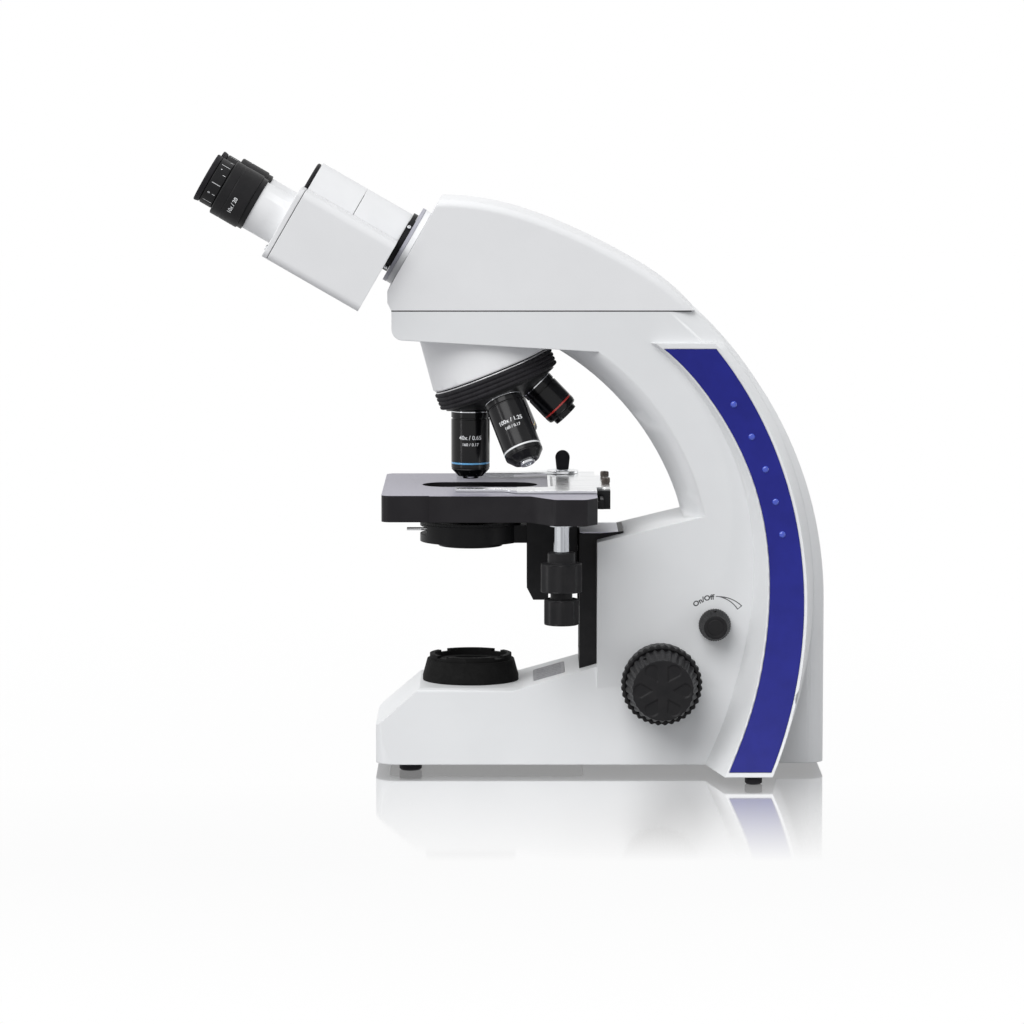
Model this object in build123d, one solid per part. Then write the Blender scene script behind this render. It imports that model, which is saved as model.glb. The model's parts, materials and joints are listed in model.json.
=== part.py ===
from build123d import *
import os
from math import asin, atan2, cos, degrees, pi, radians, sin, sqrt, tan

# Compound microscope with a tilting-barrel binocular head, in millimetres.
# X runs from the user towards the column, Y to the user's left, Z up from the table.
# Everything is drawn about the optical axis of the objective in use, at X = 0 and Y = 0.

# Fits and seats
running_gap = 0.05
seat_gap = 0.2
face_gap = 0.3

# Optics
parfocal_length = 45.0
nosepiece_radius = 59.0
nosepiece_tilt = 22.0
head_tilt = 30.0
slide_rise = 1.3

# Stand casting
foot_height = 5.0
base_front_x = -58.5
base_nose_height = 23.0
base_slope = 41.0
base_top_z = 51.5
base_ramp_x = 32.0
base_ramp = 16.0
base_half_width = 50.0
base_corner_radius = 14.0
base_rear_x = 176.0
base_edge_radius = 3.0
column_front_x = 78.5
column_top_z = 142.3
column_top_slope = 13.7
column_half_width = 42.0
back_x = 219.0
back_bend_z = 105.0
back_radius = 241.5
back_edge_radius = 11.0
arch_half_width = 22.0
arch_centre_x = -32.9
arch_centre_z = 114.5
arch_radius = 170.0
side_arch_centre_x = -16.9
side_arch_centre_z = 125.6
side_arch_radius = 165.3
arm_front_x = -48.0
arm_under_front_z = 267.4
arm_under_rear_x = 52.0
arm_under_rear_z = 261.5
arm_nose_radius = 7.0
seam_z = 285.2

# Rear legs and their inlays
leg_top_z = 265.5
leg_top_stand = 4.0
leg_foot_half_width = 98.0
leg_front_x = 175.1
leg_front_bend_z = 128.0
leg_front_radius = 179.7
leg_rear_x = 206.9
leg_rear_bend_z = 110.0
leg_rear_radius = 242.3
leg_lower_radius = 256.0
leg_bevel_top = 2.6
leg_bevel_foot = 11.5
leg_rear_bevel = 5.0
leg_sections = 8
inlay_margin_front = 1.4
inlay_margin_rear = 2.2
inlay_thickness = 1.0
inlay_proud = 0.3
inlay_top_drop = 3.5
inlay_foot_rise = 3.0
lamp_count = 5
lamp_first_z = 228.1
lamp_pitch = 19.8
lamp_radius = 2.1
lamp_height = 0.8
lamp_seat = 0.05

# Head cover and flange
head_face_s = 192.4
head_front_low_x = -50.5
head_crown_x = -18.1
head_blend_x = 35.0
head_blend_z = 344.6
head_rear_x = 92.9
head_rear_z = 318.8
head_edge_radius = 5.0
swing_offset = 260.0
flange_radius = 25.5
flange_thickness = 2.2
spacer_radius = 22.5
flange_rise = 6.0
deflection_bore = 11.0
head_prism_size = 24.0
spigot_radius = 16.0
tube_lens_radius = 12.0
tube_lens_thickness = 5.0
tube_lens_z = 271.0

# Binocular head
barrel_radius = 18.6
hinge_radius = 14.0
hinge_bore = 9.0
barrel_stand = 9.6
barrel_length = 64.0
cap_thickness = 2.4
cap_radius = 17.2
swing_arm = 37.5
swing_drop = 23.1
housing_half = 24.0
housing_inner = 16.8
housing_corner = 5.0
web_depth = 22.0
sleeve_radius = 16.0
sleeve_length = 23.0
eyepiece_tube_radius = 15.0
eyepiece_tube_depth = 4.0
eyepiece_lip_radius = 17.2
eyepiece_lip = 3.0
eyepiece_body_radius = 18.0
eyepiece_body_length = 22.3
diopter_radius = 15.3
diopter_length = 8.7
eyecup_radius = 15.8
eyecup_length = 4.0
eye_opening = 11.0
eyepiece_neck_radius = 12.5
prism_size = 26.0
neck_radius = 20.0

# Nosepiece and objectives
housing_top_radius = 34.8
housing_bottom_radius = 38.8
housing_bottom_t = 35.4
turret_radius = 36.0
turret_top_t = 36.9
turret_rim_t = 47.6
ring_radius = 39.0
ring_rib_count = 4
ring_groove_depth = 1.0
axle_radius = 4.0
axle_end_t = 57.0
objective_thread_radius = 10.1
objective_thread = 4.0
light_bore = 9.0
objective_bore = 5.0
objective_collar = 4.0
objective_groove = 0.6

# Objectives
objective_40x_length = 42.2
objective_40x_radius = 12.0
objective_40x_nose_length = 4.6
objective_40x_nose_radius = 7.6
objective_40x_tip_length = 1.4
objective_40x_tip_radius = 5.0
objective_10x_length = 33.0
objective_10x_radius = 12.0
objective_10x_nose_length = 3.0
objective_10x_nose_radius = 9.0
objective_10x_tip_length = 1.0
objective_10x_tip_radius = 6.5
objective_4x_length = 27.0
objective_4x_radius = 10.8
objective_4x_nose_length = 1.0
objective_4x_nose_radius = 9.8
objective_4x_tip_length = 3.0
objective_4x_tip_radius = 8.0
objective_100x_length = 44.2
objective_100x_radius = 12.0
objective_100x_nose_length = 4.4
objective_100x_nose_radius = 8.0
objective_100x_tip_length = 1.8
objective_100x_tip_radius = 4.6
front_lens_radius = 2.6
front_lens_thickness = 1.6

# Stage
stage_top_z = 174.0
stage_thickness = 16.3
stage_front_x = -54.0
stage_rear_x = 78.0
stage_half_width = 70.0
stage_step_x = -24.7
stage_step = 2.0
stage_bulge_y = 91.0
stage_bulge_front_x = 37.0
stage_bulge_start_x = 52.0
stage_bulge_end_x = 71.0
stage_bulge_rear_y = 80.0
stage_corner = 6.0
stage_bulge_corner = 3.0
stage_deck = 6.5
stage_wall = 4.0
stage_notch_top_z = 162.5
stage_travel_front = 28.0
stage_travel_rear = 2.0
opening_front_x = -30.0
opening_rear_x = 41.8
opening_half_width = 15.0
guide_thickness = 7.0

# Slide holder
holder_thickness = 1.6
holder_lift = 0.4
holder_bar_front_x = 48.0
holder_bar_rear_x = 78.0
holder_half_width = 58.0
holder_tab_half_width = 36.0
slide_length = 76.0
slide_rear_x = 29.0
arm_front_end_x = -9.0
arm_width = 9.0
finger_pivot_x = 58.0
finger_pivot_y = 52.0
finger_disc_radius = 10.0
finger_disc_height = 1.6
finger_pin_radius = 2.0
finger_thickness = 1.2
finger_arm_width = 9.0
finger_lip = 1.6
lever_height = 12.5
lever_width = 8.8
lever_foot_width = 7.2
lever_depth = 3.4
block_rear_x = 86.5
block_bottom_z = 163.0
block_half_length = 42.0
rail_half_length = 66.0
rail_stem = 1.8
rail_head = 2.0
rail_z = 168.5
rail_stem_height = 3.0
rail_head_height = 6.0
screw_head_radius = 2.7
screw_head_height = 3.6
screw_radius = 1.5
screw_depth = 6.0
screw_y_near = -10.0
screw_y_far = 28.0
screw_x = 84.2

# Stage drive knobs
drive_x = 56.0
drive_y = -78.0
drive_tube_radius = 4.65
drive_tube_bottom_z = 140.8
drive_washer_radius = 7.5
drive_washer = 1.2
drive_sleeve_radius = 3.5
drive_rod_radius = 2.0
drive_top_z = 167.0
drive_collar_radius = 8.35
upper_knob_radius = 13.0
upper_knob_top_z = 134.0
upper_knob_bottom_z = 116.3
lower_knob_neck_radius = 6.7
lower_knob_radius = 11.0
lower_knob_top_z = 112.0
lower_knob_bottom_z = 96.2
stage_knob_grips = 10
stage_knob_grip_depth = 1.0

# Focus drive
rise_per_turn = 45.0
pinion_teeth = 15
tooth_width = 12.0
tooth_thinning = 0.12
focus_x = 117.6
focus_z = 57.6
coarse_shaft_radius = 5.0
fine_shaft_radius = 3.0
coarse_radius = 25.0
coarse_hub_radius = 19.0
coarse_standoff = 4.0
coarse_depth = 25.0
coarse_flutes = 36
coarse_flute_radius = 1.5
fine_base_radius = 22.0
fine_face_radius = 18.8
fine_depth = 22.5
fine_flutes = 30
fine_flute_radius = 1.3
fine_recesses = 6
fine_recess_depth = 1.6
cover_front_x = 67.7
cover_top_z = 146.0
cover_half_width = 26.0
cover_lid_rear_x = 95.0
slot_half_width = 12.6
neck_half_width = 12.0
slot_bottom_z = 70.0
rail_width = 6.0
rail_depth = 4.6
cavity_rear_x = 128.0
cavity_half_width = 20.0
cavity_bottom_z = 34.0
cavity_top_z = 136.0
carriage_neck_bottom_z = 108.0
bracket_front_x = 35.1
bracket_lip = 13.4
bracket_bottom_z = 103.7
bracket_chamfer = 4.0
bracket_chamfer_height = 7.7
carriage_half_width = 18.0
carriage_flange = 6.0
carriage_flange_bottom_z = 56.0
carriage_top_z = 152.0
rack_bottom_z = 50.0
rack_top_z = 82.0
rack_thickness = 6.0

# Condenser
carrier_radius = 31.5
carrier_height = 11.0
carrier_wall = 7.4
condenser_seat_drop = 24.0
condenser_flange = 2.0
condenser_cone_radius = 27.0
condenser_top_radius = 11.5
condenser_shoulder_drop = 7.5
condenser_top_drop = 2.0
condenser_body_radius = 20.0
condenser_depth = 14.0
condenser_bore = 10.0
condenser_lens_radius = 9.0
condenser_lens_thickness = 4.0
condenser_lower_lens_radius = 15.0
condenser_lower_lens_thickness = 6.0
iris_depth = 6.0
iris_thickness = 4.4
iris_swing = 25.0
iris_lever_radius = 1.0
iris_lever_reach = 39.8

# Light source
lamp_bore = 17.0
lamp_tube_wall = 2.5
lamp_floor_z = 9.0
collar_radius = 30.0
collar_top_radius = 25.6
collar_waist_radius = 27.2
collar_waist_z = 64.7
collar_top_z = 68.0
filter_seat_radius = 22.6
filter_seat_depth = 4.0
collar_notches = 4
collar_notch_half_width = 4.0
collar_notch_depth = 1.6
field_lens_thickness = 4.0
collector_thickness = 6.0
collector_z = 20.0
led_thickness = 1.6

# Vent grille
grille_front_x = 39.0
grille_rear_x = 59.0
grille_half_width = 25.0
grille_thickness = 1.2
grille_slots = 7
grille_slot_width = 1.2

# Brightness knob and power inlet
bright_x = 151.0
bright_z = 91.5
bright_radius = 10.0
bright_face_radius = 7.25
bright_depth = 16.0
bright_shaft_radius = 3.0
bright_shaft_depth = 14.0
bright_flutes = 24
bright_flute_radius = 0.9
inlet_z = 32.0
inlet_radius = 4.5
inlet_depth = 9.0
inlet_body_radius = 6.0
inlet_rim_radius = 7.5
inlet_rim = 1.2

# Feet and bottom plate
bottom_plate_front_x = -50.0
bottom_plate_rear_x = 70.0
bottom_plate_half_width = 34.0
bottom_plate_thickness = 1.5
foot_front_x = -37.0
foot_front_y = 36.0
foot_front_radius = 7.0
foot_rear_x = 173.0
foot_rear_radius = 5.3
foot_inset = 8.0

# Worked out from the sizes above
holder_bottom_z = stage_top_z + holder_lift
holder_top_z = holder_bottom_z + holder_thickness
lamp_tube_radius = lamp_bore - seat_gap
specimen_z = stage_top_z + slide_rise
apex_z = specimen_z + parfocal_length + nosepiece_radius
base_bottom_z = foot_height
pinion_radius = rise_per_turn / (2 * pi)
gear_module = 2 * pinion_radius / pinion_teeth
rack_back_x = focus_x - pinion_radius - rack_thickness
stage_bottom_z = stage_top_z - stage_thickness
condenser_seat_z = stage_top_z - condenser_seat_drop
condenser_shoulder_z = stage_top_z - condenser_shoulder_drop
condenser_top_z = stage_top_z - condenser_top_drop
condenser_bottom_z = condenser_seat_z - condenser_depth
carrier_bottom_z = condenser_seat_z - carrier_height
iris_bottom_z = condenser_seat_z - iris_depth
leg_top_half_width = column_half_width + leg_top_stand
coarse_inner_y = column_half_width + coarse_standoff
coarse_outer_y = coarse_inner_y + coarse_depth
fine_outer_y = coarse_outer_y + fine_depth
barrel_start_s = head_face_s + barrel_stand
barrel_end_s = barrel_start_s + barrel_length
barrel_seam_s = barrel_start_s + barrel_length / 2
sleeve_end_s = barrel_end_s + sleeve_length
eyepiece_tube_start_s = barrel_end_s - eyepiece_tube_depth
eyepiece_body_end_s = sleeve_end_s + eyepiece_body_length
diopter_end_s = eyepiece_body_end_s + diopter_length
eyecup_end_s = diopter_end_s + eyecup_length
swing_angle = degrees(asin(swing_drop / swing_arm))
half_pupil_distance = sqrt(swing_arm ** 2 - swing_drop ** 2)
head_slope = radians(head_tilt)
head_crown_z = (head_face_s + head_crown_x * cos(head_slope)) / sin(head_slope)
eyepiece_offset = swing_offset - swing_drop
eyecup_low_offset = eyepiece_offset - eyecup_radius
front_reach = -eyecup_end_s * cos(head_slope) + eyecup_low_offset * sin(head_slope)
origin_x = (front_reach + back_x) / 2

nose_frame = Plane(
    origin=(0, 0, apex_z),
    x_dir=(-cos(radians(nosepiece_tilt)), 0, -sin(radians(nosepiece_tilt))),
    z_dir=(sin(radians(nosepiece_tilt)), 0, -cos(radians(nosepiece_tilt))),
).location
head_frame = Plane(
    origin=(0, 0, 0),
    x_dir=(sin(radians(head_tilt)), 0, cos(radians(head_tilt))),
    z_dir=(-cos(radians(head_tilt)), 0, sin(radians(head_tilt))),
).location


def along_y(outline, y0, y1):
    """Extrudes an outline drawn in (x, z) from y0 to y1."""
    return Pos(0, y1, 0) * extrude(Plane.XZ * outline, y1 - y0)


def along_x(outline, x0, x1):
    """Extrudes an outline drawn in (y, z) from x0 to x1."""
    return Pos(x0, 0, 0) * extrude(Plane.YZ * outline, x1 - x0)


def along_z(outline, z0, z1):
    """Extrudes an outline drawn in (x, y) from z0 to z1."""
    return Pos(0, 0, z0) * extrude(outline, z1 - z0)


def polygon(*points):
    """A face from its corners."""
    return make_face(Polyline(*points, close=True))


def rectangle(a0, a1, b0, b1):
    """A rectangular face between two corners."""
    return Pos((a0 + a1) / 2, (b0 + b1) / 2) * Rectangle(a1 - a0, b1 - b0)


def block(x0, x1, y0, y1, z0, z1):
    """A rectangular block between two corners."""
    return along_z(rectangle(x0, x1, y0, y1), z0, z1)


def rod(radius, z0, z1):
    """A cylinder on the Z axis from z0 to z1."""
    return Pos(0, 0, z0) * Cylinder(radius, z1 - z0, align=(Align.CENTER, Align.CENTER, Align.MIN))


def rod_y(radius, y0, y1):
    """A cylinder along Y from y0 to y1."""
    return Rot(-90, 0, 0) * rod(radius, y0, y1)


def turned(*profile):
    """A solid of revolution about Z, from its (radius, height) corners."""
    outline = Plane.XZ * polygon(*profile)
    return revolve(outline, Axis.Z)


def mirrored_pair(solid):
    """A solid and its mirror image across the XZ plane."""
    return [solid, mirror(solid, Plane.XZ)]


def arc_x(bend_x, bend_z, upper_radius, lower_radius, z):
    """X of a curve of two arcs that share a vertical tangent at the bend."""
    radius = upper_radius if z > bend_z else lower_radius
    return bend_x - radius + sqrt(radius ** 2 - (z - bend_z) ** 2)


def save(name, *solids):
    """Writes one node's solids, moved to the origin under the middle of the whole."""
    shape = Compound(children=[Pos(-origin_x, 0, 0) * s for s in solids])
    export_step(shape, os.path.join("parts", name + ".step"))


# The arm, column and base


def column_outline(centre_x, centre_z, radius):
    """Side view of column and arm, with the arch drawn about the given centre."""
    under_slope = (arm_under_rear_z - arm_under_front_z) / (arm_under_rear_x - arm_front_x)
    arch_top_x = centre_x + sqrt(radius ** 2 - (arm_under_rear_z - centre_z) ** 2)
    arch_top_z = arm_under_rear_z + under_slope * (arch_top_x - arm_under_rear_x)
    arch_top_x = centre_x + sqrt(radius ** 2 - (arch_top_z - centre_z) ** 2)
    slope = tan(radians(column_top_slope))
    foot_x = centre_x + radius
    foot_z = column_top_z + slope * (foot_x - column_front_x)
    for _ in range(4):
        foot_x = centre_x + sqrt(radius ** 2 - (foot_z - centre_z) ** 2)
        foot_z = column_top_z + slope * (foot_x - column_front_x)
    top_angle = atan2(arch_top_z - centre_z, arch_top_x - centre_x)
    foot_angle = atan2(foot_z - centre_z, foot_x - centre_x)
    middle = (top_angle + foot_angle) / 2
    arch = ThreePointArc(
        (arch_top_x, arch_top_z),
        (centre_x + radius * cos(middle), centre_z + radius * sin(middle)),
        (foot_x, foot_z),
    )
    back_centre_x = back_x - back_radius
    back_top_x = back_centre_x + sqrt(back_radius ** 2 - (seam_z - back_bend_z) ** 2)
    back_middle = atan2(seam_z - back_bend_z, back_top_x - back_centre_x) / 2
    middle_x = back_centre_x + back_radius * cos(back_middle)
    middle_z = back_bend_z + back_radius * sin(back_middle)
    back = ThreePointArc((back_x, back_bend_z), (middle_x, middle_z), (back_top_x, seam_z))
    edges = [
        arch,
        Line((foot_x, foot_z), (column_front_x, column_top_z)),
        Line((column_front_x, column_top_z), (column_front_x, base_bottom_z)),
        Line((column_front_x, base_bottom_z), (back_x, base_bottom_z)),
        Line((back_x, base_bottom_z), (back_x, back_bend_z)),
        back,
        Line((back_top_x, seam_z), (arm_front_x, seam_z)),
        Line((arm_front_x, seam_z), (arm_front_x, arm_under_front_z)),
        Line((arm_front_x, arm_under_front_z), (arch_top_x, arch_top_z)),
    ]
    return make_face(Wire(edges))


def column_and_arm():
    """The C-shaped column, wide at its sides and narrower round the arch."""
    inner = Plane.XZ * column_outline(arch_centre_x, arch_centre_z, arch_radius)
    outer = Plane.XZ * column_outline(side_arch_centre_x, side_arch_centre_z, side_arch_radius)
    web = Pos(0, arch_half_width, 0) * extrude(inner, 2 * arch_half_width)
    near = loft([Pos(0, -arch_half_width, 0) * inner, Pos(0, -column_half_width, 0) * outer], ruled=True)
    return web + near + mirror(near, Plane.XZ)


def base():
    """The low front part of the stand, with sloped nose and drafted sides."""
    slope_run = (base_top_z - base_bottom_z - base_nose_height) / tan(radians(base_slope))
    ramp_end_x = column_front_x + 10
    ramp_end_z = base_top_z + (ramp_end_x - base_ramp_x) * tan(radians(base_ramp))
    side = polygon(
        (base_front_x, base_bottom_z),
        (base_front_x, base_bottom_z + base_nose_height),
        (base_front_x + slope_run, base_top_z),
        (base_ramp_x, base_top_z),
        (ramp_end_x, ramp_end_z),
        (back_x - back_edge_radius, ramp_end_z),
        (back_x - back_edge_radius, base_bottom_z),
    )
    draft = (base_half_width - column_half_width) / (base_top_z - base_bottom_z)
    top_half = base_half_width - draft * (ramp_end_z - base_bottom_z)
    front = polygon(
        (-base_half_width, base_bottom_z),
        (base_half_width, base_bottom_z),
        (top_half, ramp_end_z),
        (-top_half, ramp_end_z),
    )
    length = base_rear_x - base_front_x
    plan = RectangleRounded(length, 2 * base_half_width, base_corner_radius)
    plan = Pos(base_front_x + length / 2, 0) * plan
    solid = along_y(side, -base_half_width - 1, base_half_width + 1)
    solid = solid & along_x(front, base_front_x - 1, back_x)
    return solid & along_z(plan, base_bottom_z, ramp_end_z + 1)


def leg_front_x_at(z):
    """X of the leg's front edge where it leaves the column's side."""
    return arc_x(leg_front_x, leg_front_bend_z, leg_front_radius, leg_lower_radius, z)


def leg_rear_x_at(z):
    """X of the rear edge of the leg's outer face."""
    return arc_x(leg_rear_x, leg_rear_bend_z, leg_rear_radius, leg_lower_radius, z)


def leg_bevel_at(z):
    """Width of the bevel in front of the leg's outer face."""
    share = (leg_top_z - z) / (leg_top_z - base_bottom_z)
    return leg_bevel_top + (leg_bevel_foot - leg_bevel_top) * share


def leg_half_width_at(z):
    """Half width over the legs, an arc that starts upright at the top."""
    spread = leg_foot_half_width - leg_top_half_width
    height = leg_top_z - base_bottom_z
    radius = (spread ** 2 + height ** 2) / (2 * spread)
    return leg_top_half_width + radius - sqrt(radius ** 2 - (leg_top_z - z) ** 2)


def section_heights(top, bottom):
    """Evenly spaced heights for the sections of a leg."""
    step = (top - bottom) / (leg_sections - 1)
    return [bottom + step * i for i in range(leg_sections)]


def leg():
    """One rear leg, lofted through level sections, on the near side."""
    root = column_half_width - back_edge_radius
    sections = []
    for z in section_heights(leg_top_z, base_bottom_z):
        front = leg_front_x_at(z)
        rear = leg_rear_x_at(z)
        out = leg_half_width_at(z)
        outline = polygon(
            (front, -root),
            (front, -column_half_width),
            (front + leg_bevel_at(z), -out),
            (rear, -out),
            (rear + leg_rear_bevel, -column_half_width),
            (rear + leg_rear_bevel, -root),
        )
        sections.append(Pos(0, 0, z) * outline)
    return loft(sections)


def inlay_slab(inner_depth, outer_height, margin):
    """A thin slab that follows the leg's outer face, grown by margin all round."""
    top = leg_top_z - inlay_top_drop + margin
    bottom = base_bottom_z + inlay_foot_rise - margin
    sections = []
    for z in section_heights(top, bottom):
        front = leg_front_x_at(z) + leg_bevel_at(z) + inlay_margin_front - margin
        rear = leg_rear_x_at(z) - inlay_margin_rear + margin
        out = leg_half_width_at(z)
        sections.append(Pos(0, 0, z) * rectangle(front, rear, -out - outer_height, -out + inner_depth))
    return loft(sections)


def lamp_place(index):
    """Where an indicator lamp stands on the near inlay, facing outwards."""
    z = lamp_first_z - index * lamp_pitch
    front = leg_front_x_at(z) + leg_bevel_at(z) + inlay_margin_front
    rear = leg_rear_x_at(z) - inlay_margin_rear
    out = leg_half_width_at(z) + inlay_proud
    lean = degrees(atan2(leg_half_width_at(z - 1) - leg_half_width_at(z + 1), 2))
    return Pos((front + rear) / 2, -out, z) * Rot(90 - lean, 0, 0) * Pos(0, 0, lamp_seat)


def indicator_lamp():
    """A small domed lamp, with its foot at the origin."""
    return turned((0, 0), (lamp_radius, 0), (lamp_radius * 0.75, lamp_height * 0.75), (0, lamp_height))


def lens(radius, thickness, z0):
    """A lens on the Z axis with a flat lower face at z0 and a domed upper face."""
    rim = thickness * 0.4
    sag = thickness - rim
    curvature = (radius ** 2 + sag ** 2) / (2 * sag)
    ball = Pos(0, 0, z0 + thickness - curvature) * Sphere(curvature)
    return rod(radius, z0, z0 + thickness) & ball


def ramp_z(x):
    """Height of the base's ramp at x."""
    return base_top_z + (x - base_ramp_x) * tan(radians(base_ramp))


def grille_place():
    """Middle of the vent grille, lying on the base's ramp."""
    x = (grille_front_x + grille_rear_x) / 2
    return Pos(x, 0, ramp_z(x)) * Rot(0, -base_ramp, 0)


def grille_plate(margin):
    """The grille's outline as a plate just under the ramp, grown by margin."""
    length = (grille_rear_x - grille_front_x) + 2 * margin
    outline = RectangleRounded(length, 2 * (grille_half_width + margin), 2.0)
    return grille_place() * along_z(outline, -grille_thickness, 0)


def stand_body():
    """The painted casting: base, column, arm and rear legs, with its bores and pockets."""
    near_leg = leg()
    solid = column_and_arm()
    back_edges = [
        e
        for e in solid.edges()
        if abs(abs(e.center().Y) - column_half_width) < 0.1
        and e.center().X > arch_centre_x + arch_radius
        and base_bottom_z + 1 < e.center().Z < seam_z - 1
    ]
    solid = fillet(back_edges, back_edge_radius)
    nose_edges = [
        e
        for e in solid.edges()
        if abs(e.center().Z - arm_under_front_z) < 0.1 and abs(e.center().X - arm_front_x) < 0.1
    ]
    solid = fillet(nose_edges, arm_nose_radius)
    front = base()
    top_edges = [
        e
        for e in front.edges()
        if abs(e.center().Z - base_top_z) < 0.1 and abs(e.center().Y) > lamp_bore
    ]
    front = fillet(top_edges, base_edge_radius)
    solid = solid + front + near_leg + mirror(near_leg, Plane.XZ)

    recess = inlay_slab(inlay_thickness - inlay_proud, 2.0, seat_gap)
    solid = solid - recess - mirror(recess, Plane.XZ)
    solid = solid - block(
        column_front_x - 0.5,
        cavity_rear_x,
        -cavity_half_width,
        cavity_half_width,
        cavity_bottom_z,
        cavity_top_z,
    )
    shaft_hole = rod_y(coarse_shaft_radius + running_gap, -coarse_inner_y, coarse_inner_y)
    solid = solid - Pos(focus_x, 0, focus_z) * shaft_hole
    knob_hole_end = -column_half_width + bright_shaft_depth
    knob_hole = rod_y(bright_shaft_radius + running_gap, -coarse_inner_y, knob_hole_end)
    solid = solid - Pos(bright_x, 0, bright_z) * knob_hole
    solid = solid - rod(lamp_bore, lamp_floor_z, base_top_z + 1)
    solid = solid - bottom_recess(seat_gap)
    solid = solid - rod(light_bore, arm_under_rear_z - 10, seam_z + 1)
    solid = solid - rod(tube_lens_radius + seat_gap, tube_lens_z, seam_z + 1)
    solid = solid - grille_plate(seat_gap)
    return solid - Pos(back_x, 0, inlet_z) * Rot(0, 90, 0) * inlet_pocket()


def inlet_pocket():
    """The stepped hole for the power inlet, with its mouth at the origin."""
    rim = rod(inlet_rim_radius + seat_gap, -inlet_rim, 1)
    return rim + rod(inlet_body_radius + seat_gap, -inlet_depth - 2, 0)


def bottom_recess(margin):
    """The space of the bottom plate under the base."""
    length = bottom_plate_rear_x - bottom_plate_front_x + 2 * margin
    middle = (bottom_plate_rear_x + bottom_plate_front_x) / 2
    outline = Pos(middle, 0) * RectangleRounded(length, 2 * (bottom_plate_half_width + margin), 8.0)
    return along_z(outline, base_bottom_z, base_bottom_z + bottom_plate_thickness)


def rubber_feet():
    """Four feet: two under the base's front and one under each leg."""
    rear_y = leg_foot_half_width - foot_inset
    feet = []
    places = [
        (foot_front_x, foot_front_y, foot_front_radius),
        (foot_rear_x, rear_y, foot_rear_radius),
    ]
    for x, y, radius in places:
        foot = turned((0, 0), (radius - 1, 0), (radius, 1), (radius, foot_height), (0, foot_height))
        feet += [Pos(x, -y, 0) * foot, Pos(x, y, 0) * foot]
    return feet


def side_inlays():
    """The two coloured inlays that follow the outer faces of the legs."""
    slab = inlay_slab(inlay_thickness - inlay_proud, inlay_proud, 0)
    return mirrored_pair(slab)


def indicator_lamps():
    """Small domed lamps in a row on each inlay."""
    lamps = []
    for i in range(lamp_count):
        lamps += mirrored_pair(lamp_place(i) * indicator_lamp())
    return lamps


# Head cover, its flange and the optics in the arm


def head_cover():
    """The cover over the arm, with a sloped face for the binocular head."""
    slope = head_slope
    face_low_z = (head_face_s + head_front_low_x * cos(slope)) / sin(slope)
    back_centre_x = back_x - back_radius
    back_top_x = back_centre_x + sqrt(back_radius ** 2 - (seam_z - back_bend_z) ** 2)
    crown = Spline(
        (head_crown_x, head_crown_z),
        (head_blend_x, head_blend_z),
        (head_rear_x, head_rear_z),
        (back_top_x, seam_z),
        tangents=[(1, 0), (back_top_x - head_rear_x - 8, seam_z - head_rear_z - 8)],
    )
    sides = Polyline(
        (back_top_x, seam_z),
        (arm_front_x, seam_z),
        (head_front_low_x, seam_z + 5),
        (head_front_low_x, face_low_z),
        (head_crown_x, head_crown_z),
    )
    outline = make_face(Wire(crown.edges() + sides.edges()))
    solid = along_y(outline, -column_half_width, column_half_width)
    top_edges = [
        e
        for e in solid.edges()
        if abs(abs(e.center().Y) - column_half_width) < 0.1
        and e.center().Z > seam_z + 12
        and e.center().X > head_front_low_x / 2
    ]
    solid = fillet(top_edges, head_edge_radius)
    swing_z = swing_offset / cos(slope)
    solid = solid - rod(deflection_bore, seam_z - 1, swing_z)
    bend_s = swing_z * sin(slope)
    tilted_bore = Pos(swing_offset, 0, 0) * rod(deflection_bore, bend_s - 8, head_face_s + 1)
    solid = solid - head_frame * tilted_bore
    return solid - prism_block(seat_gap)


def prism_block(margin):
    """The deflection prism's outline, grown by margin, where the two optical axes meet."""
    slope = head_slope
    half = head_prism_size / 2 + margin
    swing_z = swing_offset / cos(slope)
    outline = polygon(
        (-half, swing_z - half),
        (half, swing_z - half),
        (half, swing_z + half * 0.3),
        (half * 0.2, swing_z + half),
        (-half, swing_z + half),
    )
    return along_y(outline, -half, half)


def head_flange():
    """The ring on the cover's sloped face that carries the binocular head."""
    bore = spigot_radius + running_gap
    ring = turned(
        (bore, 0),
        (spacer_radius, 0),
        (spacer_radius, flange_rise - flange_thickness),
        (flange_radius, flange_rise - flange_thickness),
        (flange_radius, flange_rise),
        (bore, flange_rise),
    )
    return head_frame * Pos(swing_offset, 0, head_face_s) * ring


def nosepiece_housing():
    """The tapered housing under the arm, with the nosepiece's axle."""
    cone = turned(
        (0, -20),
        (housing_top_radius - 2.5, -20),
        (housing_bottom_radius, housing_bottom_t - 1),
        (housing_bottom_radius - 1, housing_bottom_t),
        (0, housing_bottom_t),
    )
    solid = nose_frame * cone
    under_slope = (arm_under_rear_z - arm_under_front_z) / (arm_under_rear_x - arm_front_x)
    far = 90.0
    above = polygon(
        (arm_front_x - far, arm_under_front_z - under_slope * far),
        (arm_under_rear_x + far, arm_under_rear_z + under_slope * far),
        (arm_under_rear_x + far, seam_z + far),
        (arm_front_x - far, seam_z + far),
    )
    solid = solid - along_y(above, -far, far)
    solid = solid - rod(light_bore, specimen_z, seam_z)
    return solid + nose_frame * rod(axle_radius, housing_bottom_t - 3, axle_end_t)


# Nosepiece


def seat_cone_t(radius):
    """Distance along the nosepiece's axis of the cone that the objectives seat on."""
    tilt = radians(nosepiece_tilt)
    return nosepiece_radius / cos(tilt) - radius * tan(tilt)


def objective_place(azimuth):
    """Frame of an objective, with Z along its axis and its origin at the common apex."""
    return nose_frame * Rot(0, 0, azimuth) * Rot(0, nosepiece_tilt, 0)


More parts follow.
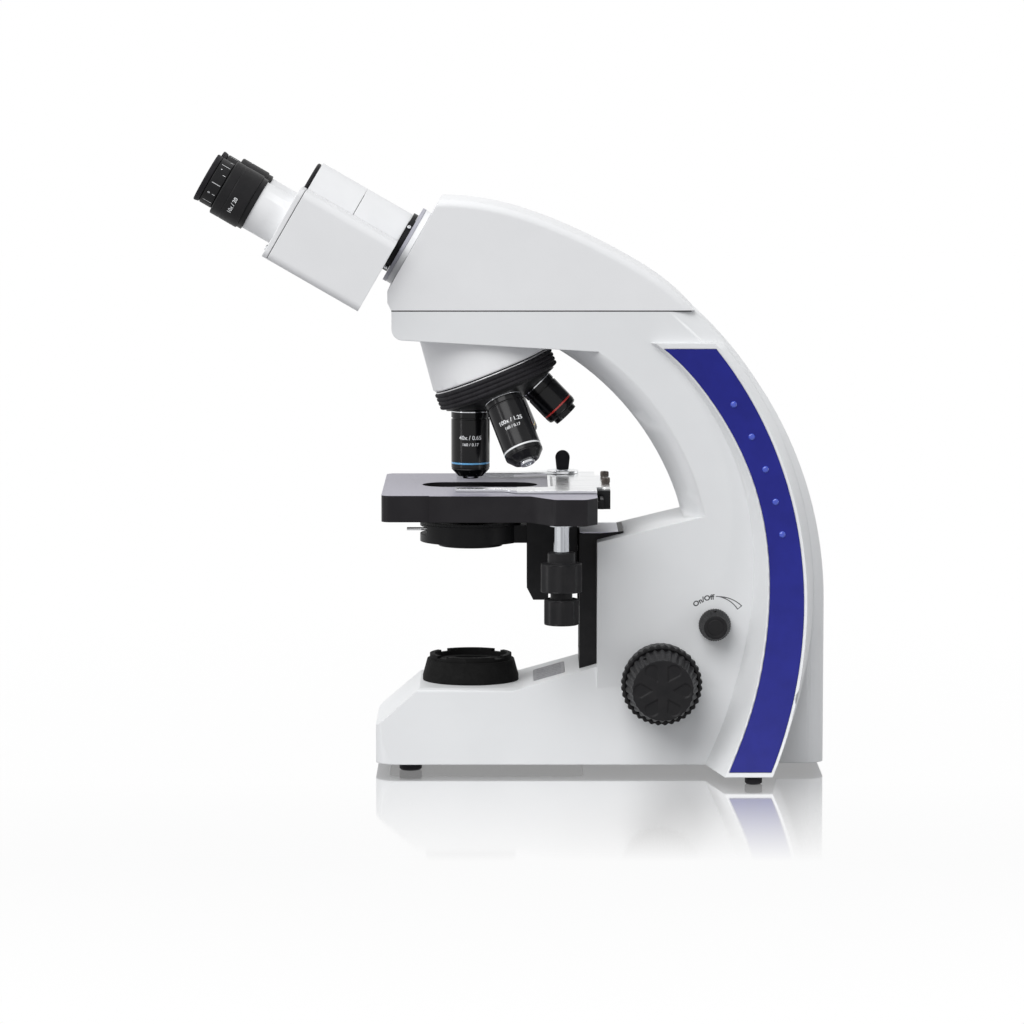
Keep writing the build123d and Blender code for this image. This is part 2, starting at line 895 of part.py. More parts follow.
def turret():
    """The revolving disc with four threaded seats round its hub."""
    bore = axle_radius + running_gap
    hub = bore + 2
    solid = nose_frame * turned(
        (bore, turret_top_t),
        (turret_radius, turret_top_t),
        (turret_radius, seat_cone_t(turret_radius)),
        (hub, seat_cone_t(hub)),
        (0, seat_cone_t(hub)),
        (0, axle_end_t + face_gap),
        (bore, axle_end_t + face_gap),
    )
    for azimuth in (0, 90, 180, 270):
        seat = rod(objective_thread_radius + running_gap, 0, 2 * nosepiece_radius)
        solid = solid - objective_place(azimuth) * seat
    return solid


def turret_ring():
    """The ribbed grip ring round the turret."""
    height = turret_rim_t - turret_top_t
    pitch = height / ring_rib_count
    profile = [(turret_radius, turret_top_t), (ring_radius - ring_groove_depth, turret_top_t)]
    for i in range(ring_rib_count):
        low = turret_top_t + i * pitch
        profile += [
            (ring_radius, low + pitch * 0.25),
            (ring_radius, low + pitch * 0.75),
            (ring_radius - ring_groove_depth, low + pitch),
        ]
    profile.append((turret_radius, turret_rim_t))
    return nose_frame * turned(*profile)


def objective(azimuth, length, radius, nose_length, nose_radius, tip_length, tip_radius):
    """One objective: thread, barrel with a grip groove, tapered nose and tip."""
    seat = nosepiece_radius
    end = seat + length
    barrel_end = end - nose_length - tip_length
    solid = turned(
        (objective_bore, seat - objective_thread),
        (objective_thread_radius, seat - objective_thread),
        (objective_thread_radius, seat),
        (radius, seat),
        (radius, seat + objective_collar),
        (radius - objective_groove, seat + objective_collar),
        (radius - objective_groove, seat + objective_collar + 1),
        (radius, seat + objective_collar + 1),
        (radius, barrel_end),
        (nose_radius, end - tip_length),
        (tip_radius, end - tip_length),
        (tip_radius, end),
        (front_lens_radius, end),
        (front_lens_radius, end - front_lens_thickness),
        (front_lens_radius - 0.6, end - front_lens_thickness),
        (objective_bore, end - front_lens_thickness - 4),
    )
    return objective_place(azimuth) * solid


def front_lens(azimuth, length):
    """The front lens seated in an objective's tip."""
    flat = nosepiece_radius + length - front_lens_thickness
    glass = lens(front_lens_radius - 0.05, front_lens_thickness - 0.1, flat)
    return objective_place(azimuth) * glass


# Binocular head


def head_neck():
    """The turning neck: spigot in the flange, collar and hollow hinge tube."""
    solid = turned(
        (hinge_bore, head_face_s + 0.6),
        (spigot_radius, head_face_s + 0.6),
        (spigot_radius, head_face_s + flange_rise + face_gap),
        (neck_radius, head_face_s + flange_rise + face_gap),
        (neck_radius, barrel_start_s - face_gap),
        (hinge_radius, barrel_start_s - face_gap),
        (hinge_radius, barrel_end_s),
        (hinge_bore, barrel_end_s),
    )
    return head_frame * Pos(swing_offset, 0, 0) * solid


def hinge_cap():
    """The dark cap that closes the front of the hinge tube."""
    start = barrel_end_s + face_gap
    solid = turned(
        (0, barrel_end_s - 6),
        (hinge_bore, barrel_end_s - 6),
        (hinge_bore, barrel_end_s),
        (hinge_radius, barrel_end_s),
        (hinge_radius, start),
        (cap_radius, start),
        (cap_radius, start + cap_thickness - 0.8),
        (cap_radius - 0.8, start + cap_thickness),
        (0, start + cap_thickness),
    )
    return head_frame * Pos(swing_offset, 0, 0) * solid


def prism_housing(knuckle_start, knuckle_end):
    """The near prism housing with its hinge knuckle and eyepiece sleeve."""
    start = barrel_start_s
    end = barrel_end_s
    y = -half_pupil_distance
    width = housing_half + housing_inner
    middle_y = y + (housing_inner - housing_half) / 2
    outline = Pos(eyepiece_offset, middle_y) * RectangleRounded(2 * housing_half, width, housing_corner)
    case = along_z(outline, start, end)
    case = case - Pos(swing_offset, 0, 0) * rod(barrel_radius + face_gap, start - 1, end + 1)
    hinge = Pos(swing_offset, 0, 0)
    web_top = eyepiece_offset + housing_half - housing_corner
    web = block(swing_offset - web_depth, web_top, y, -1, knuckle_start, knuckle_end)
    web = web & hinge * rod(barrel_radius + 6, knuckle_start, knuckle_end)
    knuckle = hinge * rod(barrel_radius, knuckle_start, knuckle_end)
    solid = case + web + knuckle - hinge * rod(hinge_radius + running_gap, start - 1, end + 1)
    eye = Pos(eyepiece_offset, y, 0)
    solid = solid + eye * rod(sleeve_radius, end - 2, sleeve_end_s)
    tube_bore = rod(eyepiece_tube_radius + running_gap, eyepiece_tube_start_s, sleeve_end_s + 1)
    return solid - eye * tube_bore - eye * rod(light_bore, start + prism_size, end) - prism_pocket(seat_gap)


def prism_pocket(margin):
    """The near rhomb prism's outline in the head's frame, grown by margin."""
    y = -half_pupil_distance
    half = prism_size / 2 + margin
    low = barrel_start_s + 4 - margin
    high = low + prism_size + 2 * margin
    return block(eyepiece_offset - half, eyepiece_offset + half, y - half, y + half, low, high)


def eyepiece():
    """The near eyepiece: tube, lip, grip body and rim, hollow along its axis."""
    start = eyepiece_tube_start_s + 1
    lip_start = sleeve_end_s + face_gap
    lip_end = lip_start + eyepiece_lip
    profile = turned(
        (eye_opening, start),
        (eyepiece_tube_radius, start),
        (eyepiece_tube_radius, lip_start),
        (eyepiece_lip_radius, lip_start),
        (eyepiece_lip_radius, lip_end),
        (eyepiece_body_radius, lip_end),
        (eyepiece_body_radius, eyepiece_body_end_s),
        (eyepiece_neck_radius, eyepiece_body_end_s),
        (eyepiece_neck_radius, diopter_end_s + face_gap),
        (eyecup_radius, diopter_end_s + face_gap),
        (eyecup_radius, eyecup_end_s - 1),
        (eyecup_radius - 1, eyecup_end_s),
        (eye_opening, eyecup_end_s - 2),
    )
    return Pos(eyepiece_offset, -half_pupil_distance, 0) * profile


def diopter_ring():
    """The near dioptre ring, turning on the eyepiece's neck."""
    bore = eyepiece_neck_radius + running_gap
    ring = turned(
        (bore, eyepiece_body_end_s + face_gap),
        (diopter_radius, eyepiece_body_end_s + face_gap),
        (diopter_radius, diopter_end_s),
        (bore, diopter_end_s),
    )
    return Pos(eyepiece_offset, -half_pupil_distance, 0) * ring


def tube_optics():
    """The near side's rhomb prism, field lens and eye lens."""
    place = Pos(eyepiece_offset, -half_pupil_distance, 0)
    field = place * lens(eye_opening - 0.05, 4.0, eyepiece_tube_start_s + 4)
    eye = place * lens(eye_opening - 0.05, 5.0, eyecup_end_s - 12)
    return [prism_pocket(0), field, eye]


# Stage


def stage_outline():
    """Plan of the moving stage, with the bulge for its drive on the near side."""
    inset = stage_half_width - stage_step
    return polygon(
        (stage_front_x, -inset),
        (stage_step_x, -inset),
        (stage_step_x, -stage_half_width),
        (stage_bulge_front_x, -stage_half_width),
        (stage_bulge_start_x, -stage_bulge_y),
        (stage_bulge_end_x, -stage_bulge_y),
        (stage_rear_x, -stage_bulge_rear_y),
        (stage_rear_x, stage_half_width),
        (stage_front_x, stage_half_width),
    )


def oblong(x0, x1, half_width):
    """A slot outline with round ends between x0 and x1."""
    return Pos((x0 + x1) / 2, 0) * SlotOverall(x1 - x0, 2 * half_width)


def stage_plate():
    """The moving stage: deck with oblong opening and skirt round its edge."""
    solid = along_z(stage_outline(), stage_bottom_z, stage_top_z)
    corners = [
        e
        for e in solid.edges().filter_by(Axis.Z)
        if (e.center().X < stage_front_x + 1) or (e.center().X > stage_rear_x - 1 and e.center().Y > 0)
    ]
    solid = fillet(corners, stage_corner)
    bulge_corners = [e for e in solid.edges().filter_by(Axis.Z) if e.center().Y < -stage_half_width - 1]
    solid = fillet(bulge_corners, stage_bulge_corner)
    inner = stage_half_width - stage_step - stage_wall
    hollow = block(
        stage_front_x + stage_wall,
        stage_rear_x - stage_wall,
        -inner,
        inner,
        stage_bottom_z - 1,
        stage_top_z - stage_deck,
    )
    solid = solid - hollow
    opening = oblong(opening_front_x, opening_rear_x, opening_half_width)
    solid = solid - along_z(opening, stage_bottom_z, stage_top_z + 1)
    # The rear skirt is cut away where it would meet the column at the bottom of the focus travel.
    notch_half = column_half_width + 2
    notch = block(
        stage_rear_x - stage_wall - 1,
        stage_rear_x + 1,
        -notch_half,
        notch_half,
        stage_bottom_z - 1,
        stage_notch_top_z,
    )
    drive_hole = rod(drive_sleeve_radius + running_gap, stage_bottom_z - 1, drive_top_z + 1)
    return solid - notch - Pos(drive_x, drive_y, 0) * drive_hole


def stage_base():
    """The guide plate under the stage with its pedestal on the focus carriage."""
    inner = stage_half_width - stage_step - stage_wall - face_gap
    top = stage_top_z - stage_deck - face_gap
    front = stage_front_x + stage_wall + stage_travel_rear + 1
    rear = stage_rear_x - stage_wall - stage_travel_front - 1
    solid = block(front, rear, -inner, inner, top - guide_thickness, top)
    solid = solid - rod(condenser_cone_radius - 2, top - guide_thickness - 1, top + 1)
    pedestal = block(bracket_front_x, rear, -carriage_half_width, carriage_half_width, carriage_top_z, top)
    return solid + (pedestal - rod(condenser_cone_radius - 2, carriage_top_z - 1, top + 1))


def rail_profile(margin):
    """Section in (x, z) of the T rail behind the stage, grown by margin."""
    middle = rail_z
    stem = rail_stem_height / 2 + margin
    head = rail_head_height / 2 + margin
    neck_x = stage_rear_x + rail_stem - margin
    head_x = stage_rear_x + rail_stem + rail_head + margin
    return polygon(
        (stage_rear_x, middle - stem),
        (neck_x, middle - stem),
        (neck_x, middle - head),
        (head_x, middle - head),
        (head_x, middle + head),
        (neck_x, middle + head),
        (neck_x, middle + stem),
        (stage_rear_x, middle + stem),
    )


def stage_rail():
    """The T rail on the stage's rear face."""
    return along_y(rail_profile(0), -rail_half_length, rail_half_length)


def holder_block():
    """The carriage that hooks round the rail and carries the slide holder."""
    solid = block(
        stage_rear_x + face_gap * 2,
        block_rear_x,
        -block_half_length,
        block_half_length,
        block_bottom_z,
        holder_bottom_z,
    )
    solid = solid - along_y(rail_profile(face_gap), -block_half_length - 1, block_half_length + 1)
    for y in (screw_y_near, screw_y_far):
        screw_hole = rod(screw_radius, holder_bottom_z - screw_depth, holder_bottom_z + 1)
        solid = solid - Pos(screw_x, y, 0) * screw_hole
    return solid


def slide_holder():
    """The polished plate with a fixed arm on the near side of the slide."""
    slide_end = slide_length / 2 + seat_gap
    arm_y = slide_end + arm_width
    lip = slide_end - 4
    outline = polygon(
        (arm_front_end_x, -arm_y),
        (arm_front_end_x, -slide_end),
        (slide_rear_x, -slide_end),
        (slide_rear_x, -lip),
        (holder_bar_front_x, -lip),
        (holder_bar_front_x, holder_half_width + 4),
        (holder_bar_rear_x, holder_half_width + 4),
        (holder_bar_rear_x, holder_tab_half_width),
        (block_rear_x, holder_tab_half_width),
        (block_rear_x, -holder_tab_half_width),
        (holder_bar_rear_x, -holder_tab_half_width),
        (holder_bar_rear_x, -holder_half_width),
        (slide_rear_x, -holder_half_width),
        (slide_rear_x - 8, -arm_y),
    )
    solid = along_z(outline, holder_bottom_z, holder_top_z)
    pivot_hole = rod(finger_pin_radius + running_gap, holder_bottom_z - 1, holder_top_z + 1)
    solid = solid - Pos(finger_pivot_x, finger_pivot_y, 0) * pivot_hole
    for y in (screw_y_near, screw_y_far):
        solid = solid - Pos(screw_x, y, 0) * rod(screw_radius, holder_bottom_z - 1, holder_top_z + 1)
    return solid


def holder_screws():
    """Two thumbscrews that hold the plate on its carriage."""
    screw = turned(
        (0, holder_bottom_z - screw_depth),
        (screw_radius, holder_bottom_z - screw_depth),
        (screw_radius, holder_top_z),
        (screw_head_radius, holder_top_z),
        (screw_head_radius, holder_top_z + screw_head_height - 0.4),
        (screw_head_radius - 0.4, holder_top_z + screw_head_height),
        (0, holder_top_z + screw_head_height),
    )
    return [Pos(screw_x, y, 0) * screw for y in (screw_y_near, screw_y_far)]


def slide_finger():
    """The sprung finger: pivot disc with thumb lever and an arm along the slide's end."""
    bottom = holder_top_z + face_gap
    top = bottom + finger_thickness
    slide_end = slide_length / 2 + seat_gap
    arm = polygon(
        (arm_front_end_x, slide_end),
        (slide_rear_x, slide_end),
        (holder_bar_front_x, finger_pivot_y - finger_disc_radius + 2),
        (finger_pivot_x, finger_pivot_y - finger_disc_radius + 1),
        (finger_pivot_x, finger_pivot_y + 3),
        (holder_bar_front_x - 8, finger_pivot_y),
        (slide_rear_x - 4, slide_end + finger_arm_width),
        (arm_front_end_x, slide_end + finger_arm_width - 3),
    )
    solid = along_z(arm, bottom, top)
    lip_end = slide_end + finger_lip
    solid = solid + block(arm_front_end_x, slide_rear_x - 2, slide_end, lip_end, holder_bottom_z, top)
    pivot = Pos(finger_pivot_x, finger_pivot_y, 0)
    solid = solid + pivot * rod(finger_disc_radius, bottom, bottom + finger_disc_height)
    solid = solid + pivot * rod(finger_pin_radius, holder_bottom_z, bottom + 1)
    lever_top = bottom + finger_disc_height + lever_height
    head = Pos(0, lever_top - lever_width / 2) * Circle(lever_width / 2)
    foot = Pos(0, bottom + 1) * Rectangle(lever_foot_width, 1)
    paddle = make_hull(head.edges() + foot.edges())
    return solid + pivot * along_y(paddle, -lever_depth / 2, lever_depth / 2)


def gripped(radius, z0, z1):
    """A stage knob's body along Z with shallow grip hollows round it."""
    hollow_radius = radius * 1.6 * pi / stage_knob_grips / 2
    reach = radius + hollow_radius - stage_knob_grip_depth
    hollow = PolarLocations(reach, stage_knob_grips) * Circle(hollow_radius)
    return along_z(Circle(radius) - hollow, z0, z1)


def drive_tube():
    """The fixed chrome tube under the stage that carries the two drive knobs."""
    bore = drive_sleeve_radius + running_gap
    tube = turned(
        (bore, drive_tube_bottom_z),
        (drive_tube_radius, drive_tube_bottom_z),
        (drive_tube_radius, stage_bottom_z - drive_washer),
        (drive_washer_radius, stage_bottom_z - drive_washer),
        (drive_washer_radius, stage_bottom_z),
        (bore, stage_bottom_z),
    )
    return Pos(drive_x, drive_y, 0) * tube


def upper_stage_knob():
    """The upper drive knob with collar and hollow sleeve."""
    knob = gripped(upper_knob_radius, upper_knob_bottom_z, upper_knob_top_z)
    collar = rod(drive_collar_radius, upper_knob_top_z, drive_tube_bottom_z - face_gap)
    sleeve = rod(drive_sleeve_radius, upper_knob_top_z, drive_top_z - 1)
    bore = rod(drive_rod_radius + running_gap, upper_knob_bottom_z - 1, drive_top_z)
    solid = knob + collar + sleeve - bore
    return Pos(drive_x, drive_y, 0) * solid


def lower_stage_knob():
    """The lower drive knob with neck and inner rod."""
    knob = gripped(lower_knob_radius, lower_knob_bottom_z, lower_knob_top_z)
    neck = rod(lower_knob_neck_radius, lower_knob_top_z, upper_knob_bottom_z - face_gap)
    shaft = rod(drive_rod_radius, lower_knob_top_z, drive_top_z)
    return Pos(drive_x, drive_y, 0) * (knob + neck + shaft)


# Focus drive


def column_cover():
    """The dark guide cover on the column's front, slotted for the focus carriage."""
    top_slope = tan(radians(column_top_slope))
    lid_z = column_top_z + face_gap
    side = polygon(
        (cover_front_x, ramp_z(cover_front_x)),
        (column_front_x, ramp_z(column_front_x)),
        (column_front_x, lid_z),
        (cover_lid_rear_x, lid_z + (cover_lid_rear_x - column_front_x) * top_slope),
        (cover_lid_rear_x, lid_z + (cover_lid_rear_x - column_front_x) * top_slope + 1),
        (column_front_x, cover_top_z),
        (cover_front_x, cover_top_z),
    )
    solid = along_y(side, -cover_half_width, cover_half_width)
    slot = block(
        cover_front_x - 1,
        column_front_x,
        -slot_half_width,
        slot_half_width,
        slot_bottom_z,
        cavity_top_z,
    )
    return solid - slot


def guide_rails():
    """Two steel ways behind the cover, one each side of its slot."""
    rear = column_front_x + rail_depth
    outer = slot_half_width + rail_width
    way = block(column_front_x, rear, -outer, -slot_half_width, slot_bottom_z, cavity_top_z - 1)
    return mirrored_pair(way)


def focus_carriage():
    """The sliding bracket: front block, neck through the slot and flange behind the ways."""
    rear = cover_front_x - 1.2
    side = polygon(
        (bracket_front_x, carriage_top_z),
        (bracket_front_x, bracket_bottom_z + bracket_chamfer_height),
        (bracket_front_x + bracket_chamfer, bracket_bottom_z),
        (bracket_front_x + bracket_lip, bracket_bottom_z),
        (bracket_front_x + bracket_lip, carriage_neck_bottom_z),
        (rear, carriage_neck_bottom_z),
        (rear, carriage_top_z),
    )
    solid = along_y(side, -carriage_half_width, carriage_half_width)
    flange_front = column_front_x + rail_depth + face_gap
    flange_rear = flange_front + carriage_flange
    top = cavity_top_z - 2
    neck = block(
        rear - 1,
        flange_front + 1,
        -neck_half_width,
        neck_half_width,
        carriage_neck_bottom_z,
        top,
    )
    flange_half = slot_half_width + rail_width - 1
    flange = block(
        flange_front,
        flange_rear,
        -flange_half,
        flange_half,
        carriage_flange_bottom_z,
        top,
    )
    arm_half = tooth_width / 2 + 2
    arm = block(flange_rear - 1, rack_back_x, -arm_half, arm_half, rack_bottom_z + 6, rack_top_z)
    return solid + neck + flange + arm


def rack_pitch_x():
    """X of the rack's pitch line."""
    return focus_x - pinion_radius


def focus_rack():
    """The toothed rack on the carriage, in mesh with the pinion at rest."""
    pitch = pi * gear_module
    addendum = 0.8 * gear_module
    dedendum = 1.2 * gear_module
    flank = tan(radians(20))
    half = pitch / 4 - tooth_thinning / 2
    line = rack_pitch_x()
    count = int((rack_top_z - rack_bottom_z) / pitch)
    points = [(rack_back_x, rack_bottom_z), (line - dedendum, rack_bottom_z)]
    first = focus_z - pitch / 2
    first -= pitch * int((first - rack_bottom_z) / pitch)
    for i in range(count):
        middle = first + i * pitch
        if middle + pitch / 2 > rack_top_z:
            break
        points += [
            (line - dedendum, middle - half - dedendum * flank),
            (line + addendum, middle - half + addendum * flank),
            (line + addendum, middle + half - addendum * flank),
            (line - dedendum, middle + half + dedendum * flank),
        ]
    points += [(line - dedendum, rack_top_z), (rack_back_x, rack_top_z)]
    return along_y(polygon(*points), -tooth_width / 2, tooth_width / 2)


def involute_point(base_radius, radius, turn):
    """A point of an involute flank at the given radius, turned by an angle in radians."""
    roll = sqrt(max((radius / base_radius) ** 2 - 1, 0))
    angle = roll - atan2(roll, 1) + turn
    return radius * cos(angle), radius * sin(angle)


def focus_pinion():
    """The small spur gear on the coarse shaft."""
    pressure = radians(20)
    base_radius = pinion_radius * cos(pressure)
    outer = pinion_radius + 0.9 * gear_module
    root = pinion_radius - 1.2 * gear_module
    half_tooth = (pi * gear_module / 2 - tooth_thinning) / (2 * pinion_radius)
    involute = tan(pressure) - pressure
    steps = 3
    flank = [base_radius + (outer - base_radius) * i / steps for i in range(steps + 1)]
    points = []
    for tooth in range(pinion_teeth):
        middle = 2 * pi * tooth / pinion_teeth + pi
        turn = half_tooth + involute
        points.append((root * cos(middle - turn), root * sin(middle - turn)))
        for radius in flank:
            x, y = involute_point(base_radius, radius, -turn)
            points.append((x * cos(middle) - y * sin(middle), x * sin(middle) + y * cos(middle)))
        for radius in reversed(flank):
            x, y = involute_point(base_radius, radius, -turn)
            points.append((x * cos(middle) + y * sin(middle), x * sin(middle) - y * cos(middle)))
        points.append((root * cos(middle + turn), root * sin(middle + turn)))
    gear = along_y(polygon(*points), -tooth_width / 2 + 0.5, tooth_width / 2 - 0.5)
    return Pos(focus_x, 0, focus_z) * (gear - rod_y(coarse_shaft_radius, -tooth_width, tooth_width))


def coarse_shaft():
    """The hollow shaft between the coarse knobs."""
    end = coarse_outer_y - 4
    bore = rod_y(fine_shaft_radius + running_gap, -end - 1, end + 1)
    tube = rod_y(coarse_shaft_radius, -end, end) - bore
    return Pos(focus_x, 0, focus_z) * tube


def fluted(radius0, radius1, z0, z1, flutes, flute_radius):
    """A knob along Z, tapering from radius0 to radius1, with flutes along its side."""
    shoulder = z0 + 0.4 * (z1 - z0)
    envelope = turned((0, z0), (radius0, z0), (radius0, shoulder), (radius1, z1), (0, z1))
    flute = PolarLocations(radius0 + flute_radius * 0.35, flutes) * Circle(flute_radius)
    # The mirrored body keeps its exact volume when it is written out and read back.
    return mirror(along_z(Circle(radius0) - flute, z0, z1) & envelope, Plane.XZ)


def coarse_knob():
    """The near coarse knob: fluted cup with a hub on the hollow shaft."""
    depth = coarse_outer_y - coarse_inner_y
    knob = fluted(coarse_radius, coarse_radius - 1.2, 0, depth, coarse_flutes, coarse_flute_radius)
    hollow = rod(coarse_hub_radius, -1, depth - 6) - rod(coarse_shaft_radius + 4, -1, depth - 6)
    knob = knob - hollow - rod(coarse_shaft_radius, -1, depth - 4)
    knob = knob - rod(fine_shaft_radius + running_gap, 0, depth + 1)
    return Pos(focus_x, -coarse_inner_y, focus_z) * Rot(90, 0, 0) * knob


def fine_knob():
    """The near fine knob: fluted cone with teardrop finger hollows in its face."""
    start = coarse_outer_y + face_gap
    depth = fine_outer_y - start
    knob = fluted(fine_base_radius, fine_face_radius, 0, depth, fine_flutes, fine_flute_radius)
    drop = make_hull((Pos(12.6, 0) * Circle(3.3)).edges() + (Pos(6.6, 0) * Circle(1.2)).edges())
    recess = along_z(drop, depth - fine_recess_depth, depth + 1)
    for i in range(fine_recesses):
        knob = knob - Rot(0, 0, 360 / fine_recesses * (i + 0.5)) * recess
    knob = knob - rod(fine_shaft_radius, -1, depth - 5)
    return Pos(focus_x, -start, focus_z) * Rot(90, 0, 0) * knob


def fine_shaft():
    """The inner shaft between the fine knobs."""
    end = fine_outer_y - 5
    return Pos(focus_x, 0, focus_z) * rod_y(fine_shaft_radius, -end, end)


def brightness_knob():
    """The small knob on the near side of the column."""
    knob = fluted(bright_radius, bright_face_radius, 0, bright_depth, bright_flutes, bright_flute_radius)
    stem = rod(bright_shaft_radius, -bright_shaft_depth + 1, 1)
    return Pos(bright_x, -column_half_width - face_gap, bright_z) * Rot(90, 0, 0) * (knob + stem)


# Condenser


def condenser_carrier():
    """The ring under the stage that holds the condenser, with its arm to the carriage."""
    inner = carrier_radius - carrier_wall
    ring = rod(carrier_radius, carrier_bottom_z, condenser_seat_z)
    arm_half = carriage_half_width - 3
    arm = block(
        carrier_radius - 6,
        bracket_front_x,
        -arm_half,
        arm_half,
        carrier_bottom_z,
        condenser_seat_z,
    )
    solid = ring + arm - rod(inner, carrier_bottom_z - 1, condenser_seat_z + 1)
    swing = iris_swing + degrees(asin(2.4 / inner))
    low = iris_bottom_z - face_gap
    high = iris_bottom_z + iris_thickness + face_gap
    reach = carrier_radius + 5
    window = polygon(
        (0, 0),
        (-reach, reach * tan(radians(swing))),
        (-reach, -reach * tan(radians(swing))),
    )
    return solid - along_z(window, low, high)


def condenser_body():
    """The condenser's turned barrel and cone, hollow along the optical axis."""
    return turned(
        (condenser_bore, condenser_bottom_z),
        (condenser_body_radius, condenser_bottom_z),
        (condenser_body_radius, condenser_seat_z),
        (carrier_radius, condenser_seat_z),
        (carrier_radius, condenser_seat_z + condenser_flange),
        (condenser_cone_radius, condenser_seat_z + condenser_flange),
        (condenser_top_radius, condenser_shoulder_z),
        (condenser_top_radius, condenser_top_z),
        (condenser_lens_radius, condenser_top_z),
        (condenser_lens_radius, condenser_top_z - condenser_lens_thickness),
        (condenser_lens_radius - 1.5, condenser_top_z - condenser_lens_thickness),
        (condenser_lens_radius - 1.5, condenser_seat_z),
        (condenser_lower_lens_radius, condenser_seat_z),
        (condenser_lower_lens_radius, condenser_seat_z - condenser_lower_lens_thickness - 1),
        (condenser_bore, condenser_seat_z - condenser_lower_lens_thickness - 1),
    )


def condenser_lenses():
    """The condenser's top lens and its lower lens."""
    top_seat = condenser_top_z - condenser_lens_thickness
    top = lens(condenser_lens_radius - 0.05, condenser_lens_thickness, top_seat)
    lower_seat = condenser_seat_z - condenser_lower_lens_thickness - 1
    lower = lens(condenser_lower_lens_radius - 0.05, condenser_lower_lens_thickness, lower_seat)
    return [top, lower]


def iris_ring():
    """The ring that opens the iris, with its thin lever towards the user."""
    outer = carrier_radius - carrier_wall - face_gap
    top = iris_bottom_z + iris_thickness
    ring = rod(outer, iris_bottom_z, top)
    ring = ring - rod(condenser_body_radius + running_gap, iris_bottom_z - 1, top + 1)
    lever = Rot(0, -90, 0) * rod(iris_lever_radius, outer - 2, iris_lever_reach)
    return ring + Pos(0, 0, iris_bottom_z + iris_thickness / 2) * lever


# Light source


def light_collar():
    """The dark collar on the base, round a filter's seat, with notches to lift the filter."""
    solid = turned(
        (filter_seat_radius, base_top_z),
        (collar_radius, base_top_z),
        (collar_radius, base_top_z + 3),
        (collar_waist_radius, collar_waist_z),
        (collar_top_radius, collar_waist_z),
        (collar_top_radius, collar_top_z),
        (filter_seat_radius, collar_top_z),
    )
    for i in range(collar_notches):
        notch = block(
            filter_seat_radius - 1,
            collar_radius,
            -collar_notch_half_width,
            collar_notch_half_width,
            collar_top_z - collar_notch_depth,
            collar_top_z + 1,
        )
        solid = solid - Rot(0, 0, 45 + 360 / collar_notches * i) * notch
    return solid


def lamp_tube():
    """The lamp's tube with ledges for two lenses and a flange that a filter lies on."""
    outer = lamp_tube_radius
    inner = outer - lamp_tube_wall
    floor = collar_top_z - filter_seat_depth
    top = floor - 1 - seat_gap
    field_z = top - field_lens_thickness
    flange = filter_seat_radius - seat_gap
    return turned(
        (inner, lamp_floor_z),
        (outer, lamp_floor_z),
        (outer, base_top_z),
        (flange, base_top_z),
        (flange, floor),
        (inner + 0.5, floor),
        (inner + 0.5, top),
        (inner, top),
        (inner, field_z),
        (inner - 2, field_z),
        (inner - 2, field_z - 2),
        (inner, field_z - 2),
        (inner, collector_z),
        (inner - 2, collector_z),
        (inner - 2, collector_z - 2),
        (inner, collector_z - 2),
    )


def lamp_lenses():
    """Field lens at the tube's top and collector above the lamp."""
    radius = lamp_tube_radius - lamp_tube_wall - 0.05
    field_z = collar_top_z - filter_seat_depth - 1 - seat_gap - field_lens_thickness
    field = lens(radius, field_lens_thickness, field_z)
    return [field, lens(radius, collector_thickness, collector_z)]


def led_board():
    """The round board on the lamp bore's floor with its light emitter."""
    radius = lamp_tube_radius - lamp_tube_wall - seat_gap
    board = rod(radius, lamp_floor_z, lamp_floor_z + led_thickness)
    return board + lens(4.0, 3.0, lamp_floor_z + led_thickness)


def vent_grille():
    """The slotted plate behind the collar, flush with the ramp."""
    plate = grille_plate(0)
    length = grille_rear_x - grille_front_x - 4
    pitch = (2 * grille_half_width - 8) / (grille_slots - 1)
    for i in range(grille_slots):
        slot = SlotOverall(length, grille_slot_width)
        cut = along_z(slot, -grille_thickness - 1, 1)
        plate = plate - grille_place() * Pos(0, -grille_half_width + 4 + i * pitch, 0) * cut
    return plate


def power_socket():
    """The low-voltage inlet at the back of the column."""
    socket = turned(
        (0, -inlet_depth - 2),
        (inlet_body_radius, -inlet_depth - 2),
        (inlet_body_radius, -inlet_rim),
        (inlet_rim_radius, -inlet_rim),
        (inlet_rim_radius, 0),
        (inlet_radius, 0),
        (inlet_radius, -inlet_depth),
        (0, -inlet_depth),
    )
    return Pos(back_x, 0, inlet_z) * Rot(0, 90, 0) * socket


# Writing the parts

os.makedirs("parts", exist_ok=True)

save("stand_body", stand_body())
save("bottom_plate", bottom_recess(0))
save("rubber_feet", *rubber_feet())
save("side_inlays", *side_inlays())
save("indicator_lamps", *indicator_lamps())
save("head_cover", head_cover())
save("head_prism", prism_block(0))
save("head_flange", head_flange())
save("tube_lens", lens(tube_lens_radius, tube_lens_thickness, tube_lens_z))
save("nosepiece_housing", nosepiece_housing())

